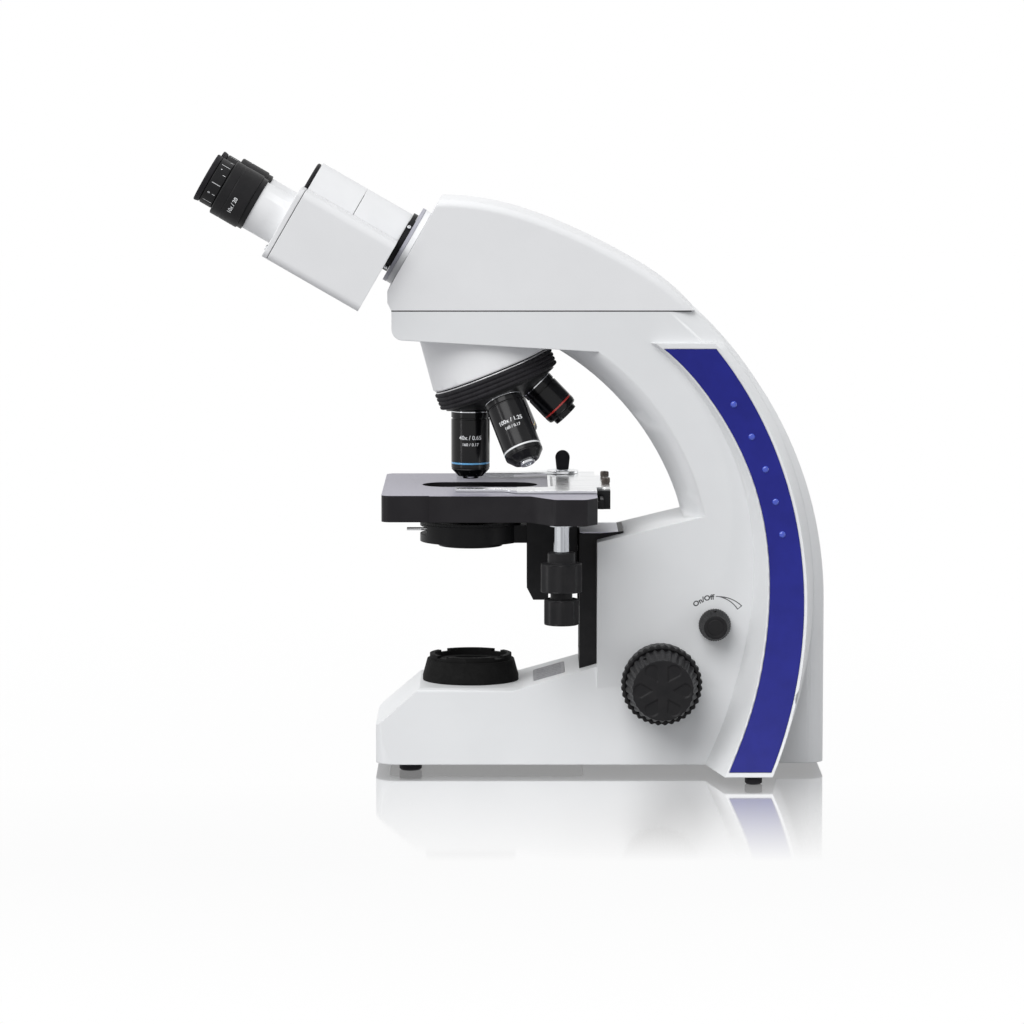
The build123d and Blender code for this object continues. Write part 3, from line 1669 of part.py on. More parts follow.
save("turret", turret())
save("turret_ring", turret_ring())
objectives = {
    "objective_40x": [
        0,
        objective_40x_length,
        objective_40x_radius,
        objective_40x_nose_length,
        objective_40x_nose_radius,
        objective_40x_tip_length,
        objective_40x_tip_radius,
    ],
    "objective_10x": [
        90,
        objective_10x_length,
        objective_10x_radius,
        objective_10x_nose_length,
        objective_10x_nose_radius,
        objective_10x_tip_length,
        objective_10x_tip_radius,
    ],
    "objective_4x": [
        180,
        objective_4x_length,
        objective_4x_radius,
        objective_4x_nose_length,
        objective_4x_nose_radius,
        objective_4x_tip_length,
        objective_4x_tip_radius,
    ],
    "objective_100x": [
        270,
        objective_100x_length,
        objective_100x_radius,
        objective_100x_nose_length,
        objective_100x_nose_radius,
        objective_100x_tip_length,
        objective_100x_tip_radius,
    ],
}
for name, sizes in objectives.items():
    save(name, objective(*sizes))
save("front_lenses", *[front_lens(sizes[0], sizes[1]) for sizes in objectives.values()])

save("head_neck", head_neck())
save("hinge_cap", hinge_cap())
near_parts = {
    "prism_housing": [prism_housing(barrel_seam_s + face_gap / 2, barrel_end_s)],
    "eyepiece": [eyepiece()],
    "diopter_ring": [diopter_ring()],
    "optics": tube_optics(),
}
far_parts = dict(near_parts)
far_parts["prism_housing"] = [prism_housing(barrel_start_s, barrel_seam_s - face_gap / 2)]
for name in near_parts:
    save("right_" + name, *[head_frame * s for s in near_parts[name]])
    save("left_" + name, *[mirror(head_frame * s, Plane.XZ) for s in far_parts[name]])

save("stage_plate", stage_plate())
save("stage_base", stage_base())
save("stage_rail", stage_rail())
save("holder_block", holder_block())
save("slide_holder", slide_holder())
save("holder_screws", *holder_screws())
save("slide_finger", slide_finger())
save("drive_tube", drive_tube())
save("upper_stage_knob", upper_stage_knob())
save("lower_stage_knob", lower_stage_knob())

save("column_cover", column_cover())
save("guide_rails", *guide_rails())
save("focus_carriage", focus_carriage())
save("focus_rack", focus_rack())
save("focus_pinion", focus_pinion())
save("coarse_shaft", coarse_shaft())
save("fine_shaft", fine_shaft())
to_far_side = Pos(2 * focus_x, 0, 0) * Rot(0, 0, 180)
near_coarse = coarse_knob()
save("coarse_knob_right", near_coarse)
save("coarse_knob_left", to_far_side * near_coarse)
near_fine = fine_knob()
save("fine_knob_right", near_fine)
save("fine_knob_left", to_far_side * near_fine)
save("brightness_knob", brightness_knob())

save("condenser_carrier", condenser_carrier())
save("condenser_body", condenser_body())
save("condenser_lenses", *condenser_lenses())
save("iris_ring", iris_ring())

save("light_collar", light_collar())
save("lamp_tube", lamp_tube())
save("lamp_lenses", *lamp_lenses())
save("led_board", led_board())
save("vent_grille", vent_grille())
save("power_socket", power_socket())

print("origin_x", round(origin_x, 4), "apex_z", round(apex_z, 3), "swing", round(swing_angle, 3))
print("half pupil distance", round(half_pupil_distance, 3), "pinion radius", round(pinion_radius, 4))
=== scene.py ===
# %% [markdown]
# A compound microscope, dressed in Blender
#
# The rigid parts come from the CAD frame, so their places and sizes are fixed. This lesson gives
# them their looks: moulded and painted covers, black knobs with flutes, ribbed rubber, glossy
# objectives with printed bands, chrome and polished plate, seen in a bright studio.

import bpy
import bmesh
import json
import math
from mathutils import Matrix, Vector

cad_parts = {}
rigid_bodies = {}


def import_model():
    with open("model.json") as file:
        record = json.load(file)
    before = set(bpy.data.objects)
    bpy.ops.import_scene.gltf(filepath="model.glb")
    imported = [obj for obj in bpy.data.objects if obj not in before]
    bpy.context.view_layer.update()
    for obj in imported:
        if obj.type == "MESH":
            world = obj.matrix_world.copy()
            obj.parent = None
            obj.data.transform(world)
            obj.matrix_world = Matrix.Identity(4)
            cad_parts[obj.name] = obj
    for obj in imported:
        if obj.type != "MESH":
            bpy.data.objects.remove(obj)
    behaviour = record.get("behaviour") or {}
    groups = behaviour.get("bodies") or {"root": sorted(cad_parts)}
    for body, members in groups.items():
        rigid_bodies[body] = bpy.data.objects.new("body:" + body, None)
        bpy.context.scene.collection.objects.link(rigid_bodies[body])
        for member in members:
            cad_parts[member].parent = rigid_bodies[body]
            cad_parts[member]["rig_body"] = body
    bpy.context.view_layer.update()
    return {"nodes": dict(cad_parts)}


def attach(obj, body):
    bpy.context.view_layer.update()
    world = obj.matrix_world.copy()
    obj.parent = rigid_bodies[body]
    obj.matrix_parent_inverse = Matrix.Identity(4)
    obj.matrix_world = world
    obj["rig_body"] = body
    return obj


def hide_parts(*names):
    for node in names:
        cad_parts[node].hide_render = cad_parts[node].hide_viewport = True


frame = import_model()
nodes = frame["nodes"]

# %% [markdown]
# Units and places
#
# A microscope is drawn about its optical axis, so sizes here are millimetres from that axis and
# from the table. One matrix turns them into the frame's metres. The tilted nosepiece and the
# eyepiece tubes each get a matrix of their own, with Z along the axis that they turn about.

# %% Places
axis_to_middle = 24.4789
to_frame = Matrix.Scale(0.001, 4) @ Matrix.Translation((-axis_to_middle, 0, 0))
nosepiece_apex = 279.3
nosepiece_tilt = math.radians(22)
head_tilt = math.radians(30)
hinge_up = 260.0
eyepiece_up = 236.9
eyepiece_aside = 29.5396


def standing(x, y, z=0.0):
    """The place of something upright whose own origin is at this point."""
    return to_frame @ Matrix.Translation((x, y, z))


def axes(origin, x_dir, z_dir):
    """A matrix from two of its directions."""
    x_dir, z_dir = Vector(x_dir), Vector(z_dir)
    y_dir = z_dir.cross(x_dir)
    turn = Matrix((x_dir, y_dir, z_dir)).transposed().to_4x4()
    return to_frame @ Matrix.Translation(origin) @ turn


def facing_right(x, y, z):
    """A place with its Z pointing out of the microscope's right-hand side."""
    return axes((x, y, z), (1, 0, 0), (0, -1, 0))


turret_place = axes(
    (0, 0, nosepiece_apex),
    (-math.cos(nosepiece_tilt), 0, -math.sin(nosepiece_tilt)),
    (math.sin(nosepiece_tilt), 0, -math.cos(nosepiece_tilt)),
)
head_place = axes(
    (0, 0, 0),
    (math.sin(head_tilt), 0, math.cos(head_tilt)),
    (-math.cos(head_tilt), 0, math.sin(head_tilt)),
)
hinge_place = head_place @ Matrix.Translation((hinge_up, 0, 0))
focus_place = facing_right(117.6, 0, 57.6)
drive_place = standing(56.0, -78.0)
print("optical axis in the frame:", tuple(round(v, 4) for v in to_frame @ Vector((0, 0, 0))))

# %% [markdown]
# Finishes
#
# Real surfaces are never one flat colour: paint has orange peel, mouldings have a fine grain,
# anodised metal is mottled and ground steel is streaked. Each finish is one small node tree with
# three layers of noise: a broad one for the colour, a middle one for the gloss and a fine one for
# the relief. A Bevel node rounds the light along sharp edges, as a real edge is never quite sharp.


# %% Node helpers
def feed(tree, fed, inputs):
    """Feeds a node's inputs, by name or number, from sockets or with values."""
    for key, value in dict(inputs).items():
        if isinstance(value, bpy.types.NodeSocket):
            tree.links.new(value, fed.inputs[key])
        else:
            fed.inputs[key].default_value = value


def node(tree, kind, inputs=(), **settings):
    """One new node with its settings and its inputs."""
    made = tree.nodes.new(kind)
    for name, value in settings.items():
        setattr(made, name, value)
    feed(tree, made, inputs)
    return made


def math_node(tree, operation, *values):
    """A Math node fed by sockets or numbers."""
    return node(tree, "ShaderNodeMath", enumerate(values), operation=operation).outputs[0]


def map_range(tree, value, source, target):
    """A value taken from one span to another, and held at the ends."""
    inputs = {"Value": value, "From Min": source[0], "From Max": source[1],
              "To Min": target[0], "To Max": target[1]}
    return node(tree, "ShaderNodeMapRange", inputs).outputs["Result"]


def noise(tree, coordinates, size_mm, detail):
    """Noise whose features are about this size."""
    inputs = {"Vector": coordinates, "Scale": 1000 / size_mm, "Detail": detail}
    return node(tree, "ShaderNodeTexNoise", inputs).outputs["Fac"]


def mixed_colour(tree, factor, first, second):
    """The first colour where the factor is 0, the second where it is 1."""
    inputs = {"Fac": factor, "Color1": first, "Color2": second}
    return node(tree, "ShaderNodeMixRGB", inputs).outputs["Color"]


def with_painted_top_sheen(tree, coordinates, shade, sheen_colour, height_mm):
    """The shade, with another colour, a painted reflection, on all that lies above a height."""
    height = node(tree, "ShaderNodeSeparateXYZ", {0: coordinates}).outputs["Z"]
    above = math_node(tree, "GREATER_THAN", height, height_mm / 1000)
    return mixed_colour(tree, above, shade, (*sheen_colour, 1))


print("node helpers ready")

# %% [markdown]
# The finish function joins these helpers. Sizes are in millimetres: broad is the size of the
# clouds in the colour, grain that of the relief, relief its height and edge the rounding. With
# top, a colour and a height, whatever lies above that height has that colour: a painted
# reflection, used for the stage's pale top.

# %% Finish helper
finishes = {}
usual_noise = (0.3, 0.7)


def finish(name, slot, light, dark, gloss, broad=18, grain=0.35, relief=0.01, edge=0.35,
           stretch=(1, 1, 1), top=None, **sockets):
    """A procedural finish: colour between two shades, gloss between two values, fine relief."""
    made = bpy.data.materials.new(name)
    made.use_nodes = True
    tree = made.node_tree
    place = node(tree, "ShaderNodeTexCoord").outputs["Object"]
    where = node(tree, "ShaderNodeMapping", {"Vector": place, "Scale": stretch}).outputs[0]
    clouds = map_range(tree, noise(tree, where, broad, 4), usual_noise, (0, 1))
    shade = mixed_colour(tree, clouds, (*dark, 1), (*light, 1))
    if top:
        shade = with_painted_top_sheen(tree, place, shade, *top)
    rough = map_range(tree, noise(tree, where, grain * 6, 3), usual_noise, gloss)
    soft_edge = node(tree, "ShaderNodeBevel", {"Radius": edge / 1000}, samples=4).outputs[0]
    bump = node(tree, "ShaderNodeBump", {"Strength": 0.5, "Distance": relief / 1000,
                                         "Height": noise(tree, where, grain, 2),
                                         "Normal": soft_edge}).outputs[0]
    inputs = {socket.replace("_", " "): value for socket, value in sockets.items()}
    feed(tree, tree.nodes["Principled BSDF"],
         {"Base Color": shade, "Roughness": rough, "Normal": bump, **inputs})
    finishes[name] = made


# %% [markdown]
# The stand is a casting with a tough light grey paint, a little textured. The covers are moulded
# and smoother. Both are nearly white, but their colour stays near 0.8: the lamps do the rest.

# %% Pale finishes
finish("casting_paint", "painted_casting", (0.79, 0.80, 0.81), (0.75, 0.76, 0.77), (0.42, 0.52),
       broad=60, grain=0.5, relief=0.012, edge=0.8, Specular_IOR_Level=0.35)
finish("cover_moulding", "white_cover", (0.81, 0.815, 0.825), (0.78, 0.785, 0.795), (0.40, 0.50),
       broad=45, grain=0.7, relief=0.006, edge=0.6, Specular_IOR_Level=0.35)
# The column lid is black metal; its pale lilac colour is a painted reflection of the bright room on
# its top.
finish("lid_painted_sheen", "black_metal", (0.76, 0.76, 0.83), (0.72, 0.72, 0.79), (0.34, 0.44),
       broad=20, grain=0.4, relief=0.008, edge=0.4)
finish("flange_grey", "grey_plate", (0.42, 0.42, 0.47), (0.37, 0.37, 0.42), (0.38, 0.5),
       broad=12, grain=0.3, relief=0.006, edge=0.3, Specular_IOR_Level=0.4)
print("pale finishes:", len(finishes))

# %% [markdown]
# Black on an instrument comes in many kinds. The stage is satin anodised metal, its paler top a
# painted reflection of the bright room; the knobs are a moulded plastic with a fine grain, the
# grip rings are matt rubber and the objectives are lacquered.

# %% Black finishes
# The height of the stage's top face; above it the stage's colour is a painted reflection.
stage_sheen_height = 173.9
finish("anodised_black", "black_metal", (0.014, 0.014, 0.015), (0.009, 0.009, 0.010), (0.34, 0.46),
       broad=9, grain=0.22, relief=0.012, edge=0.4, Specular_IOR_Level=0.13)
finish("stage_satin_painted_top_sheen", "black_metal", (0.017, 0.016, 0.018), (0.012, 0.011, 0.013), (0.30, 0.40),
       broad=14, grain=0.25, relief=0.010, edge=0.5, top=((0.34, 0.33, 0.39), stage_sheen_height),
       Specular_IOR_Level=0.13)
finish("moulded_black", "black_plastic", (0.016, 0.0155, 0.0165), (0.011, 0.011, 0.012),
       (0.40, 0.52), broad=7, grain=0.3, relief=0.02, edge=0.35, Specular_IOR_Level=0.13)
finish("grip_rubber", "black_rubber", (0.022, 0.021, 0.024), (0.015, 0.014, 0.016), (0.55, 0.72),
       broad=5, grain=0.4, relief=0.03, edge=0.25, Specular_IOR_Level=0.13)
finish("black_lacquer", "objective_black", (0.006, 0.006, 0.007), (0.004, 0.004, 0.005),
       (0.16, 0.24), broad=10, grain=0.8, relief=0.003, edge=0.3, Specular_IOR_Level=0.2,
       Coat_Weight=0.06, Coat_Roughness=0.06)
# Matt black for screws, felt, the lamp tube and the light collar, and also the painted shade in the
# seams of the head.
finish("matt_black_and_painted_shade", "black_metal", (0.008, 0.008, 0.008), (0.005, 0.005, 0.005), (0.7, 0.85),
       broad=6, grain=0.3, relief=0.01, edge=0.2, Specular_IOR_Level=0.1)
finish("grille_grey", "black_plastic", (0.34, 0.34, 0.36), (0.24, 0.24, 0.26), (0.45, 0.6),
       broad=1.6, grain=0.3, relief=0.02, edge=0.2, stretch=(1, 0.3, 1), Specular_IOR_Level=0.3)
print("finishes so far:", len(finishes))

# %% [markdown]
# The slide holder is polished along its length, so its noise is stretched. A chrome tube mirrors
# the room in long streaks; its light and dark bands of noise are a painted reflection of them.

# %% Metals and glass
finish("bright_chrome", "chrome", (0.66, 0.67, 0.69), (0.56, 0.57, 0.59), (0.06, 0.14),
       broad=8, grain=0.5, relief=0.002, edge=0.25, Metallic=1.0)
finish("ground_steel", "steel", (0.56, 0.56, 0.57), (0.46, 0.46, 0.47), (0.24, 0.38),
       broad=6, grain=0.25, relief=0.008, edge=0.2, stretch=(1, 0.08, 1), Metallic=1.0)
finish("polished_plate", "polished_aluminium", (0.82, 0.83, 0.84), (0.72, 0.73, 0.74),
       (0.16, 0.26), broad=7, grain=0.22, relief=0.004, edge=0.2, stretch=(0.12, 1, 1),
       Metallic=1.0)
finish("chrome_painted_reflection", "chrome", (0.80, 0.82, 0.85), (0.16, 0.17, 0.19), (0.08, 0.16),
       broad=4.2, grain=0.5, relief=0.002, edge=0.25, stretch=(1, 1, 0.01), Metallic=1.0)
finish("dark_steel", "steel", (0.12, 0.105, 0.095), (0.06, 0.052, 0.048), (0.2, 0.3),
       broad=3, grain=0.25, relief=0.004, edge=0.15, Metallic=1.0)
finish("coated_glass", "optical_glass", (0.90, 0.95, 0.98), (0.84, 0.90, 0.96), (0.01, 0.03),
       broad=6, grain=1.0, relief=0.0005, edge=0.1, Transmission_Weight=1.0, IOR=1.52)
print("finishes so far:", len(finishes))

# %% [markdown]
# The inlays are a deep satin blue, and the domes on them are a clearer blue. Prints are thin, so
# they have hardly any relief, and each objective's band has the colour of its power.

# %% Blues, prints and bands
finish("inlay_blue", "inlay_blue", (0.014, 0.018, 0.225), (0.011, 0.014, 0.185), (0.34, 0.44),
       broad=14, grain=0.3, relief=0.010, edge=0.4, Specular_IOR_Level=0.2)
finish("dome_blue", "lamp_blue", (0.030, 0.070, 0.560), (0.022, 0.055, 0.450), (0.10, 0.16),
       broad=2, grain=0.5, relief=0.002, edge=0.2, Coat_Weight=0.6, Coat_Roughness=0.05)
finish("print_white", "painted_casting", (0.82, 0.83, 0.84), (0.76, 0.77, 0.78), (0.4, 0.5),
       broad=2, grain=0.2, relief=0.002, edge=0.1)
finish("print_dark", "black_plastic", (0.045, 0.046, 0.050), (0.036, 0.037, 0.040), (0.45, 0.55),
       broad=2, grain=0.2, relief=0.002, edge=0.1)
for name, light, dark in (("band_red", (0.52, 0.030, 0.022), (0.44, 0.024, 0.018)),
                          ("band_yellow", (0.74, 0.50, 0.040), (0.66, 0.44, 0.030)),
                          ("band_blue", (0.10, 0.36, 0.66), (0.08, 0.31, 0.58))):
    finish(name, "objective_black", light, dark, (0.2, 0.3), broad=3, grain=0.4, relief=0.002,
           edge=0.1, Coat_Weight=0.4)
finish("board_green", "circuit_board", (0.03, 0.17, 0.08), (0.02, 0.12, 0.06), (0.3, 0.45),
       broad=3, grain=0.4, relief=0.01, edge=0.1)
print("finishes in all:", len(finishes))

# %% [markdown]
# Dressing a CAD node
#
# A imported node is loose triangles, which shade in facets. A copy is merged, its flat areas become
# single faces again, and curves are shaded smooth up to an angle. Weighted normals keep the flats
# flat. The copy then stands for the node and rides on the same body.


# %% Piece helpers
def shaded(piece, angle=32):
    """Smooth shading with creases, and flats that stay flat."""
    piece.data.shade_smooth()
    piece.data.set_sharp_from_angle(angle=math.radians(angle))
    even = piece.modifiers.new("even flats", "WEIGHTED_NORMAL")
    even.keep_sharp = True


def in_scene(name, data):
    """A new object in the scene."""
    made = bpy.data.objects.new(name, data)
    bpy.context.scene.collection.objects.link(made)
    return made


def add_piece(name, mesh, body, finish_name, replaces=(), angle=32):
    """An object from a mesh already in its place, riding on a body."""
    mesh.materials.clear()
    mesh.materials.append(finishes[finish_name])
    made = in_scene(name, mesh)
    shaded(made, angle)
    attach(made, body)
    if replaces:
        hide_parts(*replaces)
    return made


def finished_mesh(shape, name):
    """The mesh of a bmesh, which is freed."""
    mesh = bpy.data.meshes.new(name)
    shape.to_mesh(mesh)
    shape.free()
    return mesh


def dressed(name, finish_name, angle=32):
    """A merged copy of a CAD node."""
    source = nodes[name]
    shape = bmesh.new()
    shape.from_mesh(source.data)
    bmesh.ops.remove_doubles(shape, verts=shape.verts, dist=2e-6)
    bmesh.ops.dissolve_limit(shape, angle_limit=math.radians(0.4), verts=shape.verts,
                             edges=shape.edges)
    mesh = finished_mesh(shape, name)
    return add_piece(name + "_dress", mesh, source["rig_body"], finish_name, (name,), angle)


def as_packed(finish_name, *names):
    """Hidden or simple CAD nodes keep their own meshes and only get a finish."""
    for name in names:
        for slot in nodes[name].material_slots:
            slot.material = finishes[finish_name]


# %% [markdown]
# Stand and covers
#
# The stand is one casting: its base, column, arm and two flared legs flow into each other. Its
# shape comes straight from the CAD node. The head cover and the nosepiece housing are mouldings.

# %% Stand and covers
dressed("stand_body", "casting_paint", angle=28)
for name in ("head_cover", "nosepiece_housing"):
    dressed(name, "cover_moulding", angle=28)
dressed("side_inlays", "inlay_blue")
dressed("indicator_lamps", "dome_blue", angle=60)
dressed("column_cover", "moulded_black")
dressed("vent_grille", "grille_grey")
print("stand pieces dressed")

# %% [markdown]
# Turned pieces
#
# Most small parts of an instrument are turned on a lathe, so they are drawn the same way here: an
# outline of radii and heights, its corners cut by little arcs, spun about Z. This gives rounder
# edges than a CAD mesh, at the same size.


# %% Lathe
def cornered(outline, edge, steps=3):
    """The outline in millimetres with every corner replaced by a small arc."""
    closed = outline[0][0] > 0 or outline[-1][0] > 0
    points = [Vector(p) for p in outline]
    arcs = []
    for i, corner in enumerate(points):
        before = points[i - 1] - corner
        after = points[(i + 1) % len(points)] - corner
        straight = before.normalized().dot(after.normalized()) < -0.9999
        if straight or (not closed and i in (0, len(points) - 1)):
            arcs.append(corner)
            continue
        cut = min(edge, before.length * 0.45, after.length * 0.45)
        start = corner + before.normalized() * cut
        end = corner + after.normalized() * cut
        for k in range(steps + 1):
            t = k / steps
            arcs.append(start * (1 - t) ** 2 + corner * 2 * t * (1 - t) + end * t ** 2)
    return [(p.x, p.y) for p in arcs], closed


def spun(outline, edge=0.3, around=96, steps=3):
    """A mesh in metres: the outline, with softened corners, turned about Z."""
    points, closed = cornered(outline, edge, steps)
    shape = bmesh.new()
    rings = []
    for radius, height in points:
        if radius < 1e-6:
            rings.append([shape.verts.new((0, 0, height / 1000))])
            continue
        turns = [2 * math.pi * i / around for i in range(around)]
        rings.append([shape.verts.new((radius / 1000 * math.cos(turn),
                                       radius / 1000 * math.sin(turn), height / 1000))
                      for turn in turns])
    neighbours = list(zip(rings, rings[1:]))
    if closed:
        neighbours.append((rings[-1], rings[0]))
    for low, high in neighbours:
        for i in range(around):
            j = (i + 1) % around
            if len(low) == 1 and len(high) == 1:
                continue
            if len(low) == 1:
                shape.faces.new((low[0], high[j], high[i]))
            elif len(high) == 1:
                shape.faces.new((low[i], low[j], high[0]))
            else:
                shape.faces.new((low[i], low[j], high[j], high[i]))
    bmesh.ops.recalc_face_normals(shape, faces=shape.faces)
    return finished_mesh(shape, "spun")


def put(mesh, place):
    """Moves a mesh drawn in metres about its own origin to a place given in millimetres."""
    mesh.transform(place @ Matrix.Scale(1000, 4))
    return mesh


def lathe_piece(name, outline, place, body, finish_name, replaces=(), edge=0.3, around=96,
                steps=3):
    """A turned piece at its place."""
    mesh = put(spun(outline, edge, around, steps), place)
    return add_piece(name, mesh, body, finish_name, replaces)


# %% [markdown]
# Flutes by Geometry Nodes
#
# A knob's flutes follow a rule: the radius dips as the cosine of the angle round the axis. A node
# tree can say exactly that, for any number of flutes, so one tree serves the focus knobs, the
# stage knobs, the thumbscrews and every knurled ring. It moves the points of a turned mesh inwards
# where they lie between two radii and two heights.


# %% Flute tree
def new_tree(name, result, **sockets):
    """A Geometry Nodes tree with these input sockets, and what it is given."""
    tree = bpy.data.node_groups.new(name, "GeometryNodeTree")
    tree.is_modifier = True
    for label, kind in {**sockets, "Finish": "Material"}.items():
        tree.interface.new_socket(label, in_out="INPUT", socket_type="NodeSocket" + kind)
    tree.interface.new_socket(result, in_out="OUTPUT", socket_type="NodeSocketGeometry")
    return tree, tree.nodes.new("NodeGroupInput").outputs


def end_tree(tree, geometry, given):
    """Makes the instances real, sets the finish and hands out the result."""
    real = node(tree, "GeometryNodeRealizeInstances", {0: geometry}).outputs[0]
    coat = node(tree, "GeometryNodeSetMaterial", {"Geometry": real, "Material": given["Finish"]})
    node(tree, "NodeGroupOutput", {0: coat.outputs[0]})
    return tree


def smooth_step(tree, value, low, high):
    """Nought below low and one above high."""
    return node(tree, "ShaderNodeMapRange", {"Value": value, "From Min": low, "From Max": high},
                interpolation_type="SMOOTHSTEP").outputs["Result"]


def make_flute_tree():
    """Pushes the side of a turned mesh inwards in even flutes."""
    labels = ("Flutes", "Depth", "Sharpness", "Inner", "Outer", "Bottom", "Top", "Fade")
    tree, given = new_tree("flutes", "Body", Body="Geometry", **dict.fromkeys(labels, "Float"))

    def calc(operation, *values):
        return math_node(tree, operation, *values)

    position = node(tree, "GeometryNodeInputPosition").outputs[0]
    x, y, z = node(tree, "ShaderNodeSeparateXYZ", {0: position}).outputs
    radius = calc("SQRT", calc("ADD", calc("MULTIPLY", x, x), calc("MULTIPLY", y, y)))
    wave = calc("COSINE", calc("MULTIPLY", calc("ARCTAN2", y, x), given["Flutes"]))
    dip = calc("POWER", calc("MULTIPLY_ADD", wave, 0.5, 0.5), given["Sharpness"])
    side = smooth_step(tree, radius, given["Inner"], given["Outer"])
    above = smooth_step(tree, z, given["Bottom"], calc("ADD", given["Bottom"], given["Fade"]))
    past = smooth_step(tree, z, calc("SUBTRACT", given["Top"], given["Fade"]), given["Top"])
    within = calc("MULTIPLY", above, calc("SUBTRACT", 1.0, past))
    amount = calc("MULTIPLY", calc("MULTIPLY", dip, side), within)
    depth = calc("MULTIPLY", amount, given["Depth"])
    shrink = calc("DIVIDE", depth, calc("MAXIMUM", radius, 1e-5))
    flat = node(tree, "ShaderNodeCombineXYZ", {0: x, 1: y}).outputs[0]
    inward = node(tree, "ShaderNodeVectorMath", {0: flat, "Scale": calc("MULTIPLY", shrink, -1.0)},
                  operation="SCALE").outputs[0]
    move = node(tree, "GeometryNodeSetPosition", {"Geometry": given["Body"], "Offset": inward})
    return end_tree(tree, move.outputs[0], given)


flute_tree = make_flute_tree()
print("flute tree nodes:", len(flute_tree.nodes))

# %% [markdown]
# A tree works as a modifier on a seed object. Its result is taken as a plain mesh, and the seed
# goes again, so nothing of the tree is left on the microscope.


# %% Growing a mesh
def plain_mesh(made):
    """The mesh that an object shows. Its modifiers and the object itself are removed."""
    view = bpy.context.evaluated_depsgraph_get()
    mesh = bpy.data.meshes.new_from_object(made.evaluated_get(view))
    made.modifiers.clear()
    bpy.data.objects.remove(made)
    return mesh


def grown(tree, start, inputs, finish_name):
    """The plain mesh that a tree makes from a starting mesh and named inputs."""
    seed = in_scene("seed", start or bpy.data.meshes.new("empty"))
    change = seed.modifiers.new(tree.name, "NODES")
    change.node_group = tree
    given = dict(inputs, Finish=finishes[finish_name])
    for socket in tree.interface.items_tree:
        if socket.in_out == "INPUT" and socket.name in given:
            change[socket.identifier] = given[socket.name]
    return plain_mesh(seed)


def with_flutes(mesh, finish_name, count, depth, radii, heights, sharpness=1.0, fade=0.3):
    """A turned mesh with flutes between two radii and two heights, in millimetres."""
    inputs = {"Flutes": float(count), "Depth": depth / 1000, "Sharpness": float(sharpness),
              "Inner": radii[0] / 1000, "Outer": radii[1] / 1000, "Bottom": heights[0] / 1000,
              "Top": heights[1] / 1000, "Fade": fade / 1000}
    return grown(flute_tree, mesh, inputs, finish_name)


def fluted_piece(name, outline, place, body, finish_name, flutes, replaces=(), edge=0.3,
                 per_flute=8, steps=3):
    """A turned piece at its place, with the flutes that a dict describes."""
    mesh = spun(outline, edge, flutes["count"] * per_flute, steps)
    mesh = put(with_flutes(mesh, finish_name, **flutes), place)
    return add_piece(name, mesh, body, finish_name, replaces, angle=40)


# %% [markdown]
# Repeats by Geometry Nodes
#
# Ticks and marks repeat in a row or a ring. A second tree sets a small master shape at even steps
# along a line and at even turns round Z, so it makes either. The masters are drawn with mesh code
# and have only a few dozen faces.


# %% Repeat tree
def make_repeat_tree():
    """Masters from a first point in even steps, and round it at a radius in even turns."""
    tree, given = new_tree("repeats", "Row", Count="Int", First="Vector", Step="Vector",
                           Radius="Float", Start="Float", Turn="Float", Master="Object")
    index = node(tree, "GeometryNodeInputIndex").outputs[0]
    angle = math_node(tree, "MULTIPLY_ADD", index, given["Turn"], given["Start"])
    x, y = (math_node(tree, "MULTIPLY", math_node(tree, operation, angle), given["Radius"])
            for operation in ("COSINE", "SINE"))
    out = node(tree, "ShaderNodeCombineXYZ", {0: x, 1: y}).outputs[0]
    along = node(tree, "ShaderNodeVectorMath", {0: given["Step"], "Scale": index},
                 operation="SCALE").outputs[0]
    spot = given["First"]
    for shift in (along, out):
        spot = node(tree, "ShaderNodeVectorMath", {0: spot, 1: shift}, operation="ADD").outputs[0]
    points = node(tree, "GeometryNodePoints", {"Count": given["Count"]}).outputs[0]
    move = node(tree, "GeometryNodeSetPosition", {"Geometry": points, "Position": spot})
    master = node(tree, "GeometryNodeObjectInfo", {"Object": given["Master"]})
    facing = node(tree, "ShaderNodeCombineXYZ", {2: angle}).outputs[0]
    stand = node(tree, "GeometryNodeInstanceOnPoints",
                 {"Points": move.outputs[0], "Instance": master.outputs["Geometry"],
                  "Rotation": facing})
    return end_tree(tree, stand.outputs[0], given)


repeat_tree = make_repeat_tree()
print("repeat tree nodes:", len(repeat_tree.nodes))


# %% [markdown]
# Each repeated piece is one mesh. Its master is an object only while the tree needs it.


# %% Repeated pieces
def repeated_piece(name, master_mesh, count, place, body, finish_name, first=(0, 0, 0),
                   step=(0, 0, 0), radius=0.0, start=0.0, turn=0.0):
    """A row or ring of masters in millimetres and degrees, as one piece."""
    master = in_scene("master", master_mesh)
    inputs = {"Count": count, "First": Vector(first) / 1000, "Step": Vector(step) / 1000,
              "Radius": radius / 1000, "Start": math.radians(start), "Turn": math.radians(turn),
              "Master": master}
    mesh = grown(repeat_tree, None, inputs, finish_name)
    bpy.data.objects.remove(master)
    return add_piece(name, put(mesh, place), body, finish_name)


def bar_mesh(length, width, height, edge=0.03):
    """A small bar in millimetres, centred, with its long edges taken off."""
    shape = bmesh.new()
    bmesh.ops.create_cube(shape, size=1.0)
    bmesh.ops.scale(shape, vec=(length / 1000, width / 1000, height / 1000), verts=shape.verts)
    bmesh.ops.bevel(shape, geom=shape.edges[:], offset=edge / 1000, segments=1, affect="EDGES")
    return finished_mesh(shape, "bar")


# %% [markdown]
# Focus knobs
#
# The coarse knob is a deep cup with thirty-six scallops and a flat rim. The fine knob stands out of
# it, tapers to its face and has six leaf-shaped hollows for a fingertip. Both sides of the
# microscope have the pair.

